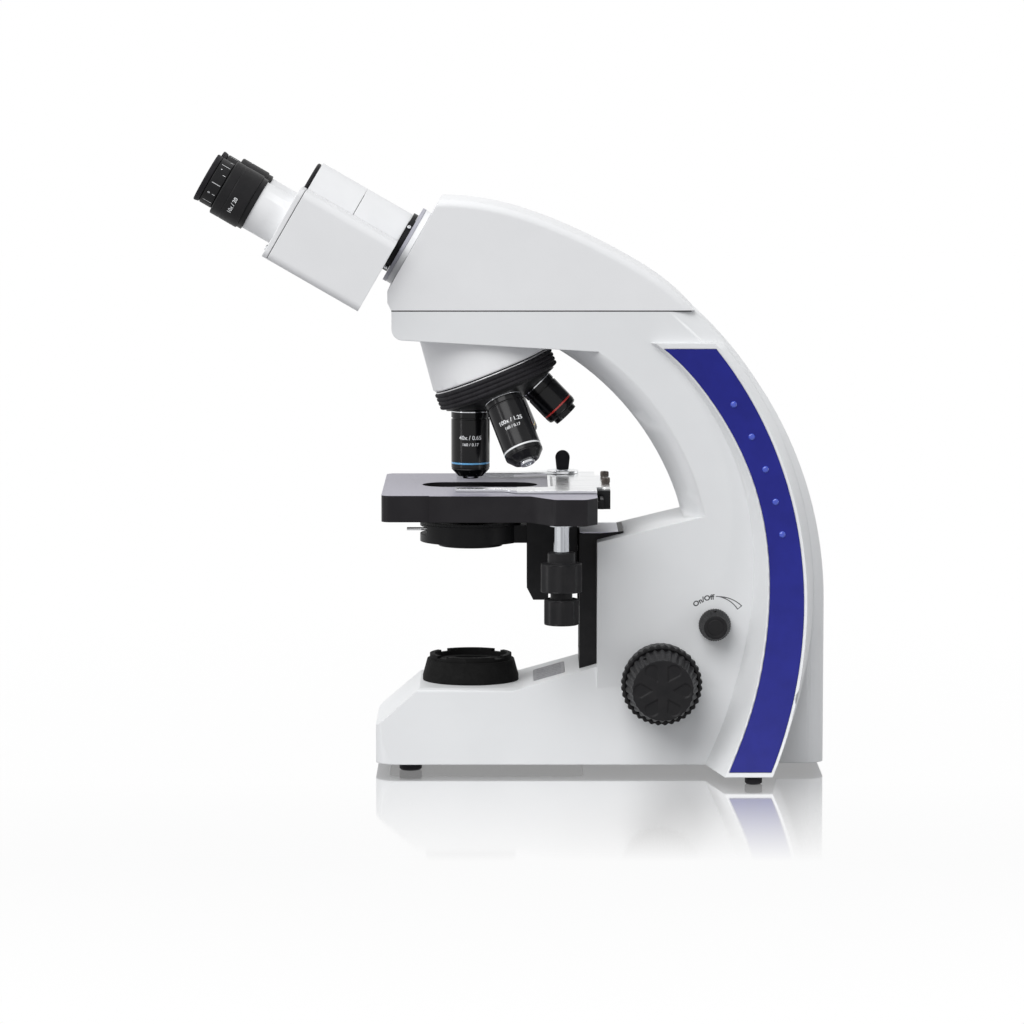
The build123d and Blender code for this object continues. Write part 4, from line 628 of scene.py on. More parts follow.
# %% Coarse knobs
coarse_outline = [(5.0, 50.0), (9.0, 50.0), (9.0, 47.0), (19.0, 47.0), (19.0, 46.0), (22.9, 46.0),
                  (25.0, 65.0), (25.0, 70.2), (24.4, 71.0), (22.4, 71.0), (21.8, 70.4),
                  (3.05, 70.4), (3.05, 67.0), (5.0, 67.0)]
coarse_flutes = dict(count=36, depth=1.0, radii=(22.6, 23.6), heights=(30.0, 90.0),
                     sharpness=1.2, fade=0.5)
focus_sides = {"right": focus_place, "left": focus_place @ Matrix.Rotation(math.pi, 4, "X")}
for side, place in focus_sides.items():
    fluted_piece(f"coarse_knob_{side}_dress", coarse_outline, place, "coarse_drive",
                 "moulded_black", coarse_flutes, (f"coarse_knob_{side}",), edge=0.5, per_flute=10)
print("coarse knobs made")

# %% [markdown]
# The fine knob's face is a grid of rings, pressed in wherever a point lies inside one of six leaf
# shapes. A leaf is a circle near the rim that narrows towards the middle, so its depth comes from
# the distance to a line whose width grows outwards.

# %% Fine knobs
face_up, face_radius, face_rings = 93.5, 18.2, 60
hollow_depth = 0.8
fine_outline = [(0, 88.5), (3.0, 88.5), (3.0, 71.3), (22.0, 71.3), (22.4, 71.8), (22.2, 76.0),
                (18.8, 93.0)]
fine_outline += [(face_radius * (1 - k / face_rings), face_up) for k in range(face_rings + 1)]


def leaf_depth(x, y, count=6, near=7.0, tip=0.9, far=13.2, wide=4.7, wall=0.9):
    """How deep a fingertip hollow is at this point of the face, from 0 to 1."""
    step = 2 * math.pi / count
    angle = math.atan2(y, x)
    offset = angle - round(angle / step) * step
    radius = math.hypot(x, y)
    along, across = radius * math.cos(offset), radius * math.sin(offset)
    share = min(max((along - near) / (far - near), 0.0), 1.0)
    reach = tip + (wide - tip) * share
    inside = reach - math.hypot(along - near - (far - near) * share, across)
    depth = min(1.0, max(0.0, inside / wall))
    return depth * depth * (3 - 2 * depth)


for side, place in focus_sides.items():
    knob = spun(fine_outline, 0.25, 240, 2)
    for vertex in knob.vertices:
        x, y, z = vertex.co * 1000
        if z > face_up - 0.3:
            vertex.co.z = (face_up - hollow_depth * leaf_depth(x, y)) / 1000
    knob = with_flutes(knob, "moulded_black", 30, 1.2, (18.2, 19.5), (70.0, 93.6), 1.3, 0.8)
    add_piece(f"fine_knob_{side}_dress", put(knob, place), "fine_drive", "moulded_black",
              (f"fine_knob_{side}",), 40)
print("fine knobs made")

# %% [markdown]
# Small knobs
#
# The brightness knob is a tapered cap with close flutes and a ring pressed in its face. A socket
# screw holds it, and another one the fine knob.

# %% Brightness knob and set screws
brightness_place = facing_right(151.0, -42.3, 91.5)
fluted_piece("brightness_knob_dress",
             [(0.0, -13), (3.0, -13), (3.0, 0.0), (9.6, 0.0), (10.0, 0.4), (9.9, 5.0),
              (7.4, 15.2), (7.0, 16.0), (5.3, 16.0), (5.0, 15.7), (4.7, 16.0), (0.0, 15.9)],
             brightness_place, "brightness", "moulded_black",
             dict(count=40, depth=0.35, radii=(7.1, 7.5), heights=(-0.5, 16.5), fade=0.5),
             ("brightness_knob",), edge=0.2)
screw_radius = 1.1
socket_screw = [(0, -1.2), (screw_radius, -1.2), (screw_radius, 0.05), (screw_radius * 0.6, 0.05),
                (screw_radius * 0.5, -0.7), (0, -0.7)]


def set_screw(name, axis_place, turn, along, out, body):
    """A socket screw in a knob's side, some way along its axis, its head out from the axis."""
    place = (axis_place @ Matrix.Rotation(math.radians(turn), 4, "Z")
             @ Matrix.Rotation(-math.pi / 2, 4, "X") @ Matrix.Translation((0, -along, out)))
    lathe_piece(name, socket_screw, place, body, "matt_black_and_painted_shade", edge=0.08, around=24, steps=1)


set_screw("brightness_set_screw", brightness_place, 0, 7.5, 9.2, "brightness")
set_screw("fine_set_screw", focus_place, 32, 80.0, 21.2, "fine_drive")
print("brightness knob made")

# %% [markdown]
# The two stage knobs hang on one axis under the stage and have ten broad grip hollows each. The
# upper one moves the stage and the lower one the slide. A chrome tube carries them.

# %% Stage knobs
upper_outline = [(2.05, 116.3), (12.4, 116.3), (13.0, 117.0), (13.0, 133.2), (12.2, 134.0),
                 (8.35, 134.0), (8.35, 140.5), (3.5, 140.5), (3.5, 166.0), (2.05, 166.0)]
lower_outline = [(0, 96.2), (10.2, 96.2), (11.0, 97.0), (11.0, 111.2), (10.2, 112.0),
                 (6.7, 112.0), (6.7, 116.0), (2.0, 116.0), (2.0, 167.0), (0, 167.0)]
for level, outline, radii, heights in (("upper", upper_outline, (9.5, 11.5), (116.4, 133.9)),
                                       ("lower", lower_outline, (7.5, 9.5), (96.3, 111.9))):
    fluted_piece(f"{level}_stage_knob_dress", outline, drive_place, f"{level}_knob",
                 "moulded_black",
                 dict(count=10, depth=1.0, radii=radii, heights=heights, sharpness=0.8, fade=1.2),
                 (f"{level}_stage_knob",), edge=0.6, per_flute=20)
# The tube's light and dark bands are a painted reflection.
lathe_piece("drive_tube_dress",
            [(3.55, 140.8), (4.65, 140.8), (4.65, 156.5), (7.5, 156.5), (7.5, 157.7),
             (3.55, 157.7)],
            drive_place, "stage", "chrome_painted_reflection", ("drive_tube",), edge=0.2)
print("stage knobs made")

# %% [markdown]
# Stage
#
# The stage is a satin black plate with a deep skirt. The slide holder is a polished plate that runs
# on it, held by two knurled thumbscrews, and a sprung finger with a lever keeps the slide in.

# %% Stage plates
dressed("stage_plate", "stage_satin_painted_top_sheen")
for name in ("stage_base", "stage_rail", "holder_block"):
    dressed(name, "anodised_black")
for name in ("slide_holder", "slide_finger"):
    dressed(name, "polished_plate")
dressed("focus_carriage", "anodised_black")
print("stage dressed")

# %% [markdown]
# The two thumbscrews are one CAD node, so both turned and knurled meshes go into one piece.

# %% Thumbscrews
thumbscrew_outline = [(0, 168.4), (1.5, 168.4), (1.5, 176.0), (2.3, 176.0), (2.7, 176.4),
                      (2.7, 179.0), (2.2, 179.6), (1.2, 179.6), (1.0, 179.2), (0, 179.2)]
pair = bmesh.new()
for y in (-10.0, 28.0):
    screw = with_flutes(spun(thumbscrew_outline, 0.15, 200, 2), "dark_steel", 20, 0.32,
                        (2.0, 2.5), (176.2, 179.4), fade=0.2)
    pair.from_mesh(put(screw, standing(84.2, y)))
add_piece("thumbscrews", finished_mesh(pair, "thumbscrews"), "slide_carriage", "dark_steel",
          ("holder_screws",), 40)
print("thumbscrews made")

# %% [markdown]
# Flat plates
#
# Some pieces are cut from sheet or pressed from rubber: a flat outline made thick, its rims
# softened. The finger's lever is a rubber cap pushed over a metal tongue, so it is a piece of its
# own, a little larger than the tongue.


# %% Plates and the finger's lever
def plate_mesh(outline, low, high, edge):
    """A plate in millimetres: an (x, y) outline between two heights, its rims softened."""
    shape = bmesh.new()
    base = shape.faces.new([shape.verts.new((x / 1000, y / 1000, low / 1000))
                            for x, y in outline])
    thick = bmesh.ops.extrude_face_region(shape, geom=[base])["geom"]
    raised = [item for item in thick if isinstance(item, bmesh.types.BMVert)]
    bmesh.ops.translate(shape, vec=(0, 0, (high - low) / 1000), verts=raised)
    bmesh.ops.recalc_face_normals(shape, faces=shape.faces)
    rims = [e for e in shape.edges if abs(e.verts[0].co.z - e.verts[1].co.z) < 1e-9]
    bmesh.ops.bevel(shape, geom=rims, offset=edge / 1000, segments=3, profile=0.5,
                    affect="EDGES")
    return finished_mesh(shape, "plate")


def arc(middle, radius, start, sweep, steps):
    """Points round a middle, from a start angle in degrees over a sweep."""
    turns = [math.radians(start + sweep * k / steps) for k in range(steps + 1)]
    return [(middle[0] + radius * math.cos(turn), middle[1] + radius * math.sin(turn))
            for turn in turns]


finger_x, finger_y, tongue_up = 58.0, 52.0, 186.0
lever_outline = [(3.8, 178.0), *arc((0, tongue_up), 4.6, -10, 200, 24), (-3.8, 178.0)]
add_piece("finger_lever", put(plate_mesh(lever_outline, -1.95, 1.95, 0.6),
                              facing_right(finger_x, finger_y, 0.0)), "finger", "grip_rubber")
lathe_piece("finger_pivot_cap",
            [(0, 177.8), (4.6, 177.8), (4.6, 178.3), (3.8, 178.7), (0, 178.7)],
            standing(finger_x, finger_y), "finger", "bright_chrome", edge=0.2)
print("lever made")

# %% [markdown]
# A lid of thin sheet closes the column behind the stage, and two felt strips wipe the carriage
# where it comes out of the guide.


# %% Lid and wipers
def rounded(x0, x1, y0, y1, radius):
    """A rectangle's outline with round corners, from the corner at x1 and y1."""
    return [*arc((x1 - radius, y1 - radius), radius, 0, 90, 6),
            *arc((x0 + radius, y1 - radius), radius, 90, 90, 6),
            *arc((x0 + radius, y0 + radius), radius, 180, 90, 6),
            *arc((x1 - radius, y0 + radius), radius, 270, 90, 6)]


# The lid's pale colour is a painted reflection on black sheet.
lid = plate_mesh(rounded(67.9, 94.6, -25.8, 25.8, 3.0), 146.2, 147.3, 0.3)
add_piece("column_lid", put(lid, to_frame), "stand", "lid_painted_sheen")
for side, y in (("right", -15.2), ("left", 15.2)):
    add_piece(f"felt_wiper_{side}", put(bar_mesh(0.7, 4.6, 45.5, 0.1), standing(67.3, y, 122.75)),
              "stand", "matt_black_and_painted_shade")
print("lid and wipers made")

# %% [markdown]
# A vernier on the holder shows where the slide is: ticks 1 mm apart, every fifth one longer.

# %% Stage scale
for name, tick, count, x, step in (
        ("stage_scale_fine", bar_mesh(1.6, 0.16, 0.02, 0.004), 61, 50.4, 1.0),
        ("stage_scale_coarse", bar_mesh(3.0, 0.2, 0.02, 0.004), 13, 51.1, 5.0)):
    repeated_piece(name, tick, count, to_frame, "slide_carriage", "print_dark",
                   first=(x, -30.0, 176.012), step=(0, step, 0))
print("stage scale made")

# %% [markdown]
# Condenser and lamp
#
# The condenser sits in a ring under the stage: a turned barrel and cone, two lenses and the iris
# ring with its thin lever. The light collar is a dark ring that stands on the base over the lamp.
# Its rim has four notches so that a filter can be lifted out. They are the CAD node's own.

# %% Condenser and light collar
fluted_piece("condenser_body_dress",
             [(10.0, 136.0), (20.0, 136.0), (20.0, 150.0), (31.5, 150.0), (31.5, 152.0),
              (27.0, 152.0), (11.5, 166.5), (11.5, 172.0), (9.0, 172.0), (9.0, 168.0),
              (7.5, 168.0), (7.5, 150.0), (15.0, 150.0), (15.0, 143.0), (10.0, 143.0)],
             standing(0, 0), "carrier", "anodised_black",
             dict(count=90, depth=0.25, radii=(29.5, 31.0), heights=(150.1, 151.9), fade=0.1),
             ("condenser_body",), edge=0.25, per_flute=4)
dressed("condenser_carrier", "anodised_black")
dressed("iris_ring", "ground_steel")
dressed("light_collar", "matt_black_and_painted_shade")
as_packed("matt_black_and_painted_shade", "lamp_tube")
as_packed("coated_glass", "condenser_lenses", "lamp_lenses")
as_packed("board_green", "led_board")
print("condenser and collar made")

# %% [markdown]
# Nosepiece
#
# The nosepiece is a black disc with a ribbed rubber ring. Four objectives hang from it, each one
# square to its own seat, so that the one in use stands upright. The ring's ribs run round it, and
# fine teeth run across them for a fingertip.

# %% Turret and grip ring
dressed("turret", "anodised_black")
rib_count, rib_low, rib_pitch = 4, 36.9, 10.7 / 4
rib_outline = [(36.0, rib_low)]
for i in range(rib_count):
    low = rib_low + i * rib_pitch
    rib_outline += [(38.0, low + 0.1), (39.0, low + rib_pitch * 0.25),
                    (39.0, low + rib_pitch * 0.75)]
rib_outline += [(38.0, 47.55), (36.0, 47.6)]
fluted_piece("turret_ring_dress", rib_outline, turret_place, "nosepiece", "grip_rubber",
             dict(count=120, depth=0.35, radii=(38.0, 38.9), heights=(37.0, 47.5), sharpness=0.7,
                  fade=0.2),
             ("turret_ring",), edge=0.35, per_flute=4, steps=2)
lathe_piece("turret_bearing", [(35.0, 36.1), (37.6, 36.1), (37.9, 36.4), (37.9, 36.9),
                               (35.0, 36.9)],
            turret_place, "nosepiece", "ground_steel", edge=0.15)
print("nosepiece ring made")

# %% [markdown]
# Numbers
#
# Numbers are flat text bent round a barrel, a hair's breadth proud of it. With bottom_up, the
# text stands on its head in the barrel's own direction, as an objective hangs down.


# %% Wrapped text
def flat_text(name, words, size, weight, align_y="CENTER"):
    """The mesh of a text with this size, drawn in millimetres and centred."""
    curve = bpy.data.curves.new(name, "FONT")
    curve.body = words
    curve.size = size
    curve.align_x = "CENTER"
    curve.align_y = align_y
    curve.resolution_u = 3
    curve.offset = weight * size
    return plain_mesh(in_scene(name, curve))


def wrapped_text(name, words, size, radius, height, angle, body, place, bottom_up=False):
    """Text bent round Z at a radius, centred on an angle in degrees."""
    proud = 0.03
    shape = bmesh.new()
    shape.from_mesh(flat_text(name, words, size, 0.015))
    long_edges = [e for e in shape.edges if e.calc_length() > 0.5]
    bmesh.ops.subdivide_edges(shape, edges=long_edges, cuts=2)
    bmesh.ops.triangulate(shape, faces=shape.faces)
    flip = -1 if bottom_up else 1
    for v in shape.verts:
        turn = math.radians(angle) + flip * v.co.x / radius
        v.co = Vector(((radius + proud) * math.cos(turn), (radius + proud) * math.sin(turn),
                       height + flip * v.co.y)) / 1000
    bmesh.ops.recalc_face_normals(shape, faces=shape.faces)
    outward = sum(f.normal.xy.dot(f.calc_center_median().xy) for f in shape.faces)
    if outward < 0:
        bmesh.ops.reverse_faces(shape, faces=shape.faces)
    return add_piece(name, put(finished_mesh(shape, name), place), body, "print_white")


# %% [markdown]
# Objectives
#
# An objective is a stack of turned rings: a knurled collar, a lacquered barrel with two fine
# grooves, a coloured band that tells its power, a cone, and a bright tip round the front lens. The
# four differ in length, in the width of the nose and in the band, so one function draws them all
# from a short table.

# %% Objective table
objectives = {
    "40x": dict(azimuth=0, length=42.2, radius=12.0, nose_length=4.6, nose=7.6, tip_length=1.4,
                tip=5.0, tip_finish="bright_chrome", band="band_blue", facing=-90,
                marks=("40x / 0.65", "160 / 0.17")),
    "10x": dict(azimuth=90, length=33.0, radius=12.0, nose_length=3.0, nose=9.0, tip_length=1.0,
                tip=6.5, tip_finish="bright_chrome", band="band_yellow", facing=180,
                marks=("10x / 0.25", "160 / -")),
    "4x": dict(azimuth=180, length=27.0, radius=10.8, nose_length=1.0, nose=9.8, tip_length=3.0,
               tip=8.0, tip_finish="black_lacquer", band="band_red", facing=-90,
               marks=("4x / 0.10", "160 / -")),
    "100x": dict(azimuth=270, length=44.2, radius=12.0, nose_length=4.4, nose=8.0, tip_length=1.8,
                 tip=4.6, tip_finish="bright_chrome", band="print_white", facing=0,
                 marks=("100x / 1.25", "160 / 0.17")),
}
objective_seat = 59.0
print("objectives in the table:", len(objectives))


# %% Objectives
def barrel_outline(radius, band_low, shoulder, end, nose, tip_low):
    """An objective's barrel: thread, collar, groove, seat of the band, chamfer and cone."""
    seat = objective_seat
    return [(5.0, 55.0), (10.1, 55.0), (10.1, seat), (radius, seat), (radius, seat + 4.0),
            (radius - 0.6, seat + 4.0), (radius - 0.6, seat + 5.0), (radius, seat + 5.0),
            (radius, band_low - 0.1), (radius - 0.25, band_low - 0.1),
            (radius - 0.25, band_low + 1.2), (radius, band_low + 1.2), (radius, shoulder - 0.8),
            (radius - 0.35, shoulder - 0.8), (radius - 0.35, shoulder - 0.3),
            (radius - 0.1, shoulder), (nose, tip_low), (5.0, tip_low), (5.0, end - 5.6)]


def flat_ring(inner, outer, low, high):
    """The outline of a plain ring."""
    return [(inner, low), (outer, low), (outer, high), (inner, high)]


def objective_piece(power, azimuth, length, radius, nose_length, nose, tip_length, tip,
                    tip_finish, band, facing, marks):
    """One objective at its seat, with band, numbers and bright tip."""
    place = (turret_place @ Matrix.Rotation(math.radians(azimuth), 4, "Z")
             @ Matrix.Rotation(nosepiece_tilt, 4, "Y"))
    seat = objective_seat
    end = seat + length
    tip_low = end - tip_length
    shoulder = tip_low - nose_length
    band_low = shoulder - 4.4
    name = f"objective_{power}"
    barrel = barrel_outline(radius, band_low, shoulder, end, nose, tip_low)
    fluted_piece(name + "_barrel", barrel, place, "nosepiece", "black_lacquer",
                 dict(count=72, depth=0.22, radii=(radius - 0.5, radius - 0.1),
                      heights=(seat + 0.4, seat + 3.6), fade=0.2),
                 (name,), edge=0.22, per_flute=4, steps=2)
    lathe_piece(name + "_band", flat_ring(radius - 0.6, radius - 0.02, band_low, band_low + 1.1),
                place, "nosepiece", band, edge=0.1)
    lathe_piece(name + "_seat", flat_ring(radius - 1.2, radius + 0.08, seat - 0.2, seat + 0.5),
                place, "nosepiece", "bright_chrome", edge=0.12)
    lathe_piece(name + "_tip", [(2.6, end - 1.6), (2.6, end), (tip, end), (tip + 0.15, tip_low),
                                (tip + 0.15, tip_low - 0.5), (2.0, tip_low - 0.5),
                                (2.0, end - 1.6)],
                place, "nosepiece", tip_finish, edge=0.25)
    middle = (seat + 5 + band_low) / 2
    for label, words, size, up in zip(("power", "cover"), marks, (3.6, 2.6), (-2.2, 2.0)):
        wrapped_text(f"{name}_{label}", words, size, radius, middle + up, facing, "nosepiece",
                     place, bottom_up=True)


for power, sizes in objectives.items():
    objective_piece(power, **sizes)
as_packed("coated_glass", "front_lenses")
print("objectives made:", ", ".join(objectives))

# %% [markdown]
# Binocular head
#
# Two prism housings turn on one hinge tube. They are moulded covers, each with a sleeve for its
# eyepiece. The flange, the neck and the clamp hold the head on the arm.

# %% Head
for name in ("right_prism_housing", "left_prism_housing"):
    dressed(name, "cover_moulding", angle=28)
dressed("head_neck", "anodised_black")
dressed("head_flange", "flange_grey")
lathe_piece("hinge_cap_dress",
            [(0, 260.0), (9.0, 260.0), (9.0, 266.0), (14.0, 266.0), (14.0, 266.3), (17.2, 266.3),
             (17.2, 268.0), (16.4, 268.7), (0, 268.7)],
            hinge_place, "head", "moulded_black", ("hinge_cap",), edge=0.5)
as_packed("coated_glass", "head_prism", "tube_lens", "right_optics", "left_optics")
print("head dressed")

# %% [markdown]
# Each housing is closed by a front plate with a bite for the hinge cap and one screw under the
# eyepiece. A thin dark band behind the plate is painted shade in the seam.

# %% Front plates and seams
plate_box = (212.9, 260.9, -53.5, -12.74)
plate_middle = (238.0, -36.0)
bite_radius = 17.6


def band_mesh(outline, low, high, closed=True):
    """A thin band round an (x, y) outline in millimetres, between two heights."""
    shape = bmesh.new()
    lower = [shape.verts.new((x / 1000, y / 1000, low / 1000)) for x, y in outline]
    upper = [shape.verts.new((x / 1000, y / 1000, high / 1000)) for x, y in outline]
    for i in range(len(outline) if closed else len(outline) - 1):
        j = (i + 1) % len(outline)
        shape.faces.new((lower[i], lower[j], upper[j], upper[i]))
    return finished_mesh(shape, "band")


def front_plate(side, flip, body):
    """A housing's front plate with its screw and a band of painted shade in its seam. The left one
    is mirrored by flip.
    """
    # The bite takes the place of the corner next to the hinge.
    box = [p for p in rounded(*plate_box, 5.0) if p[0] < plate_middle[0] or p[1] < plate_middle[1]]
    bite = arc((hinge_up, 0), bite_radius, -87.1, -46.3, 12)
    outline = [(up, flip * y) for up, y in box + bite][::flip]
    add_piece(f"{side}_front_plate", put(plate_mesh(outline, 266.35, 269.6, 0.4), head_place),
              body, "cover_moulding")
    middle = Vector((plate_middle[0], flip * plate_middle[1]))
    # A dark band just inside the plate's outline, painted shade in the seam.
    seam = [middle + (Vector(point) - middle) * 0.985 for point in outline]
    add_piece(f"{side}_front_seam", put(band_mesh(seam, 265.8, 266.5), head_place), body,
              "matt_black_and_painted_shade")
    lathe_piece(f"{side}_plate_screw",
                [(0, 269.4), (2.0, 269.4), (2.0, 270.3), (1.6, 270.7), (0.9, 270.7), (0.9, 270.1),
                 (0, 270.1)],
                head_place @ Matrix.Translation((217.6, -flip * eyepiece_aside, 0)), body,
                "bright_chrome", edge=0.15, around=32)


front_plate("right", 1, "right_tube")
front_plate("left", -1, "left_tube")
print("front plates and seams made")

# %% [markdown]
# A white spacer lies between flange and neck, and two clamp screws hold the neck. A band of
# painted shade like that of the housings runs under the edge of the head cover, and a scale on
# the hinge cap tells how far apart the eyepieces stand.

# %% Neck, cover seam and pupil scale
lathe_piece("flange_spacer", flat_ring(22.0, 25.3, 192.5, 196.15), hinge_place, "stand",
            "cover_moulding", edge=0.2)
for name, turn in (("clamp_screw_upper", -56), ("clamp_screw_lower", -146)):
    place = (hinge_place @ Matrix.Rotation(math.radians(turn), 4, "Z")
             @ Matrix.Translation((20.0, 0, 200.2)) @ Matrix.Rotation(math.pi / 2, 4, "Y"))
    lathe_piece(name, [(0, -0.5), (1.25, -0.5), (1.25, 1.2), (1.0, 1.5), (0.55, 1.5), (0.55, 0.8),
                       (0, 0.8)],
                place, "head", "bright_chrome", edge=0.12, around=32)
# A dark band under the cover's edge: painted shade in the seam.
cover_edge = [(136.0, -42.04), (-48.06, -42.04), (-48.06, 42.04), (136.0, 42.04)]
add_piece("cover_seam", put(band_mesh(cover_edge, 284.8, 285.5, closed=False), to_frame), "stand",
          "matt_black_and_painted_shade")
repeated_piece("pupil_scale", bar_mesh(1.8, 0.3, 0.04, 0.01), 11, hinge_place, "head",
               "print_white", first=(0, 0, 268.72), radius=14.6, start=150, turn=6)
print("neck, seam and scale made")

# %% [markdown]
# Eyepieces
#
# An eyepiece slides into the sleeve. It has a tube with a wider lip, a smooth black body with one
# fine groove, the dioptre ring with its scale and a soft rubber rim that curls over for the eye.

# %% Eyepieces
mark_count = 7


def eyepiece_pieces(side, y, facing):
    """One eyepiece with its number and its dioptre ring, seen from an angle in degrees."""
    body, ring = f"{side}_tube", f"{side}_diopter"
    place = head_place @ Matrix.Translation((eyepiece_up, y, 0))
    lathe_piece(f"{side}_eyepiece_tube",
                [(11.0, 263.0), (15.0, 263.0), (15.0, 289.3), (17.2, 289.3), (17.2, 292.3),
                 (11.6, 292.3), (11.6, 290.0), (11.0, 289.0)],
                place, body, "anodised_black", edge=0.3)
    lathe_piece(f"{side}_eyepiece_body",
                [(11.6, 292.3), (17.4, 292.3), (18.0, 292.9), (18.0, 304.6), (17.8, 304.8),
                 (17.8, 305.2), (18.0, 305.4), (18.0, 310.7), (17.4, 311.3), (12.5, 311.3),
                 (12.5, 320.3), (11.6, 320.3)],
                place, body, "moulded_black", (f"{side}_eyepiece",), edge=0.3)
    lathe_piece(f"{side}_eyecup",
                [(11.6, 320.3), (14.9, 320.3), (15.3, 320.7), (15.8, 323.0), (15.5, 323.9),
                 (14.7, 323.6), (13.6, 322.6), (11.2, 322.0), (11.0, 321.4)],
                place, body, "grip_rubber", edge=0.3, steps=4)
    lathe_piece(f"{side}_diopter_dress",
                [(12.55, 311.6), (14.9, 311.6), (15.3, 312.0), (15.3, 319.6), (14.9, 320.0),
                 (12.55, 320.0)],
                place, ring, "moulded_black", (f"{side}_diopter_ring",), edge=0.25)
    wrapped_text(f"{side}_eyepiece_power", "10x / 20", 3.4, 18.0, 300.4, facing - 21, body, place)
    for name, length, height, start in (("marks", 5.8, 315.6, facing - 154.3),
                                        ("dashes", 1.8, 313.8, facing - 180)):
        repeated_piece(f"{side}_diopter_{name}", bar_mesh(0.02, 0.34, length, 0.004), mark_count,
                       place, ring, "print_white", first=(0, 0, height), radius=15.31,
                       start=start, turn=360 / mark_count)
    wrapped_text(f"{side}_diopter_zero", "0", 2.2, 15.3, 317.0, facing - 25.7, ring, place)
    wrapped_text(f"{side}_diopter_plus", "+", 2.0, 15.3, 317.0, facing + 38, ring, place)


eyepiece_pieces("right", -eyepiece_aside, -90)
eyepiece_pieces("left", eyepiece_aside, 90)
print("eyepieces made")

# %% [markdown]
# Hidden mechanism and small trim
#
# The rack, pinion, shafts and rails show only from below or behind, so their CAD nodes keep their
# own meshes and get a metal finish.

# %% Mechanism
as_packed("ground_steel", "focus_rack", "focus_pinion", "coarse_shaft", "fine_shaft",
          "guide_rails")
dressed("power_socket", "moulded_black")
dressed("bottom_plate", "anodised_black")
dressed("rubber_feet", "grip_rubber")
print("mechanism finished")

# %% [markdown]
# Markings by the lamp knob
#
# Over the brightness knob stand the words for its switch. They follow an arc round the knob, so
# each point of the flat text is bent about the knob's axis and laid on the casting.

# %% Lamp words
marks_place = facing_right(151.4, -42.0, 89.2)
marks_proud = 0.04


def arc_point(radius, turn):
    """A point of the marks at an angle round the knob, just off the casting."""
    return Vector((radius * math.cos(turn), radius * math.sin(turn), marks_proud)) / 1000


words_radius, words_angle = 17.9, math.radians(113)
switch_words = flat_text("lamp_switch_words", "On/Off", 4.4, 0.03, "TOP_BASELINE")
for v in switch_words.vertices:
    v.co = arc_point(words_radius + v.co.y, words_angle - v.co.x / words_radius)
add_piece("lamp_switch_words", put(switch_words, marks_place), "stand", "print_dark")
print("lamp words made")

# %% [markdown]
# Beside the words, a wedge grows as the light does. It is only outlined: two strips that drift
# apart along the arc, closed by a cap at the wide end.

# %% Lamp wedge
wedge_radius, wedge_start, wedge_sweep, wedge_steps = 19.7, 89.0, 48.0, 24
wedge_width, wedge_stroke, wedge_cap = 3.7, 0.55, 1.2
wedge = bmesh.new()
rails = [[], [], [], []]
for k in range(wedge_steps + 1):
    turn = math.radians(wedge_start - wedge_sweep * k / wedge_steps)
    half = max(0.5, wedge_width * k / wedge_steps) / 2
    hollow = max(0.02, half - wedge_stroke)
    for rail, reach in zip(rails, (-half, -hollow, hollow, half)):
        rail.append(wedge.verts.new(arc_point(wedge_radius + reach, turn)))
for inner, outer in (rails[:2], rails[2:]):
    for k in range(wedge_steps):
        wedge.faces.new((inner[k], inner[k + 1], outer[k + 1], outer[k]))
cap_turn = math.radians(wedge_start - wedge_sweep - wedge_cap)
caps = [wedge.verts.new(arc_point(wedge_radius + reach, cap_turn))
        for reach in (-wedge_width / 2, wedge_width / 2)]
wedge.faces.new((rails[0][-1], *caps, rails[3][-1], rails[2][-1], rails[1][-1]))
bmesh.ops.recalc_face_normals(wedge, faces=wedge.faces)
if sum(f.normal.z for f in wedge.faces) < 0:
    bmesh.ops.reverse_faces(wedge, faces=wedge.faces)
add_piece("lamp_wedge", put(finished_mesh(wedge, "wedge"), marks_place), "stand", "print_dark")
print("lamp wedge made")

# %% [markdown]
# Studio
#
# The camera stands far off on the right-hand side and looks a little down. Its place and its focal
# length, in pixels of a 1024 pixel picture, were fitted to the photograph.

# %% Camera
camera_spot = (25.9, -2883.0, 469.9)
camera_down = 6.2
focal_pixels, picture_pixels, sensor_mm = 4640, 1024, 36
camera = in_scene("camera", bpy.data.cameras.new("camera"))
camera.location = to_frame @ Vector(camera_spot)
camera.rotation_euler = (math.radians(90 - camera_down), 0, 0)
camera.data.lens = focal_pixels / picture_pixels * sensor_mm
camera.data.sensor_width = sensor_mm
camera.data.clip_end = 100
bpy.context.scene.camera = camera
print("lens:", round(camera.data.lens, 1), "mm")

# %% [markdown]
# The photograph has a white sweep. A large plane takes the shadow and turns into plain white
# further out. Close to the feet it mirrors the object, and that mirror fades towards the camera.


# %% Floor
def seen_rays(tree):
    """One for a ray of the camera, then one for any ray that is seen, mirrored ones too."""
    path = node(tree, "ShaderNodeLightPath").outputs
    bounced = math_node(tree, "MAXIMUM", path["Is Glossy Ray"], path["Is Transmission Ray"])
    return path["Is Camera Ray"], math_node(tree, "MAXIMUM", path["Is Camera Ray"], bounced)


def mixed_shader(tree, factor, first, second):
    """The first shader where the factor is 0, the second where it is 1."""
    return node(tree, "ShaderNodeMixShader", {0: factor, 1: first, 2: second}).outputs[0]


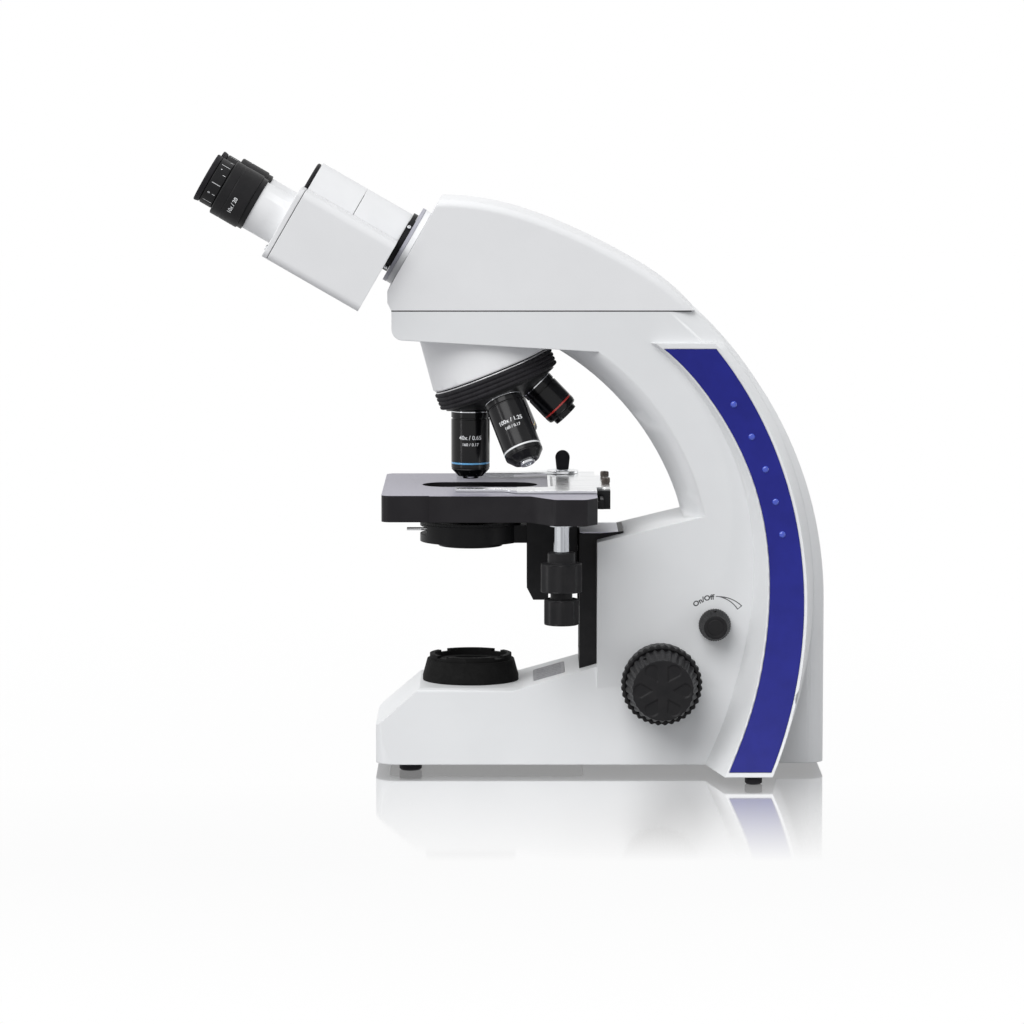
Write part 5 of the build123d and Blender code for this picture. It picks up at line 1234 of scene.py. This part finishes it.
plain_colour = (1, 1, 1, 1)
shadow_near, shadow_far, shadow_white = 0.18, 0.75, 0.92
mirror_gone, mirror_full, mirror_share = -0.35, -0.09, 0.8
floor_shape = bmesh.new()
bmesh.ops.create_grid(floor_shape, x_segments=1, y_segments=1, size=6.0)
floor = in_scene("floor", finished_mesh(floor_shape, "floor"))
sweep = bpy.data.materials.new("white_sweep")
sweep.use_nodes = True
tree = sweep.node_tree
tree.nodes.clear()
matt = node(tree, "ShaderNodeBsdfDiffuse", {"Color": (0.35, 0.35, 0.36, 1)}).outputs[0]
mirror = node(tree, "ShaderNodeBsdfGlossy", {"Color": plain_colour, "Roughness": 0.06}).outputs[0]
white = node(tree, "ShaderNodeEmission", {"Color": plain_colour, "Strength": 1.0}).outputs[0]
by_camera, by_any = seen_rays(tree)
where = node(tree, "ShaderNodeTexCoord").outputs["Object"]
towards = node(tree, "ShaderNodeSeparateXYZ", {0: where}).outputs["Y"]
far_off = node(tree, "ShaderNodeVectorMath", {0: where}, operation="LENGTH").outputs["Value"]
plain = map_range(tree, far_off, (shadow_near, shadow_far), (shadow_white, 1.0))
fading = map_range(tree, towards, (mirror_gone, mirror_full), (0.0, mirror_share))
glow = mixed_shader(tree, math_node(tree, "MULTIPLY", by_any, plain), matt, white)
shine = mixed_shader(tree, math_node(tree, "MULTIPLY", by_camera, fading), glow, mirror)
node(tree, "ShaderNodeOutputMaterial", {"Surface": shine})
floor.data.materials.append(sweep)
print("floor is stage")

# %% [markdown]
# A very broad sun is the key light, from above the camera's left. Weak softboxes lift the top, the
# back and the two ends, and a soft sky fills the rest. The sky looks plain white to the camera and
# in mirrors, but lights the object less.

# %% Lamps and sky
sky_strength = 0.42


def softbox(name, spot, size, power, aim=(40, 0, 180)):
    """A rectangular lamp in millimetres from the optical axis, aimed at the microscope."""
    data = bpy.data.lights.new(name, "AREA")
    data.shape = "RECTANGLE"
    data.size, data.size_y = size[0] / 1000, size[1] / 1000
    data.energy = power
    lamp = in_scene(name, data)
    lamp.location = to_frame @ Vector(spot)
    direction = to_frame @ Vector(aim) - lamp.location
    lamp.rotation_euler = direction.to_track_quat("-Z", "Y").to_euler()


sun = in_scene("key", bpy.data.lights.new("key", "SUN"))
sun.rotation_euler = Vector((0.35, 0.58, -0.73)).to_track_quat("-Z", "Y").to_euler()
sun.data.energy = 2.15
sun.data.angle = math.radians(50)
softbox("top", (300, 200, 2200), (1400, 1400), 4)
softbox("rim", (1600, 900, 900), (900, 900), 4)
softbox("left_fill", (-1500, -300, 1150), (900, 900), 4, aim=(60, 0, 90))
softbox("left_strip", (-1400, -900, 160), (160, 1200), 3)
softbox("right_strip", (1500, -1000, 160), (160, 1200), 3)
world = bpy.data.worlds.new("sky")
bpy.context.scene.world = world
world.use_nodes = True
tree = world.node_tree
tree.nodes.clear()
soft, plain_white = (
    node(tree, "ShaderNodeBackground", {"Color": shade, "Strength": strength}).outputs[0]
    for shade, strength in (((0.98, 0.99, 1.0, 1), sky_strength), (plain_colour, 1.0)))
sky = mixed_shader(tree, seen_rays(tree)[1], soft, plain_white)
node(tree, "ShaderNodeOutputWorld", {"Surface": sky})
bpy.context.scene.view_settings.view_transform = "Standard"
print("lamps:", len(bpy.data.lights))
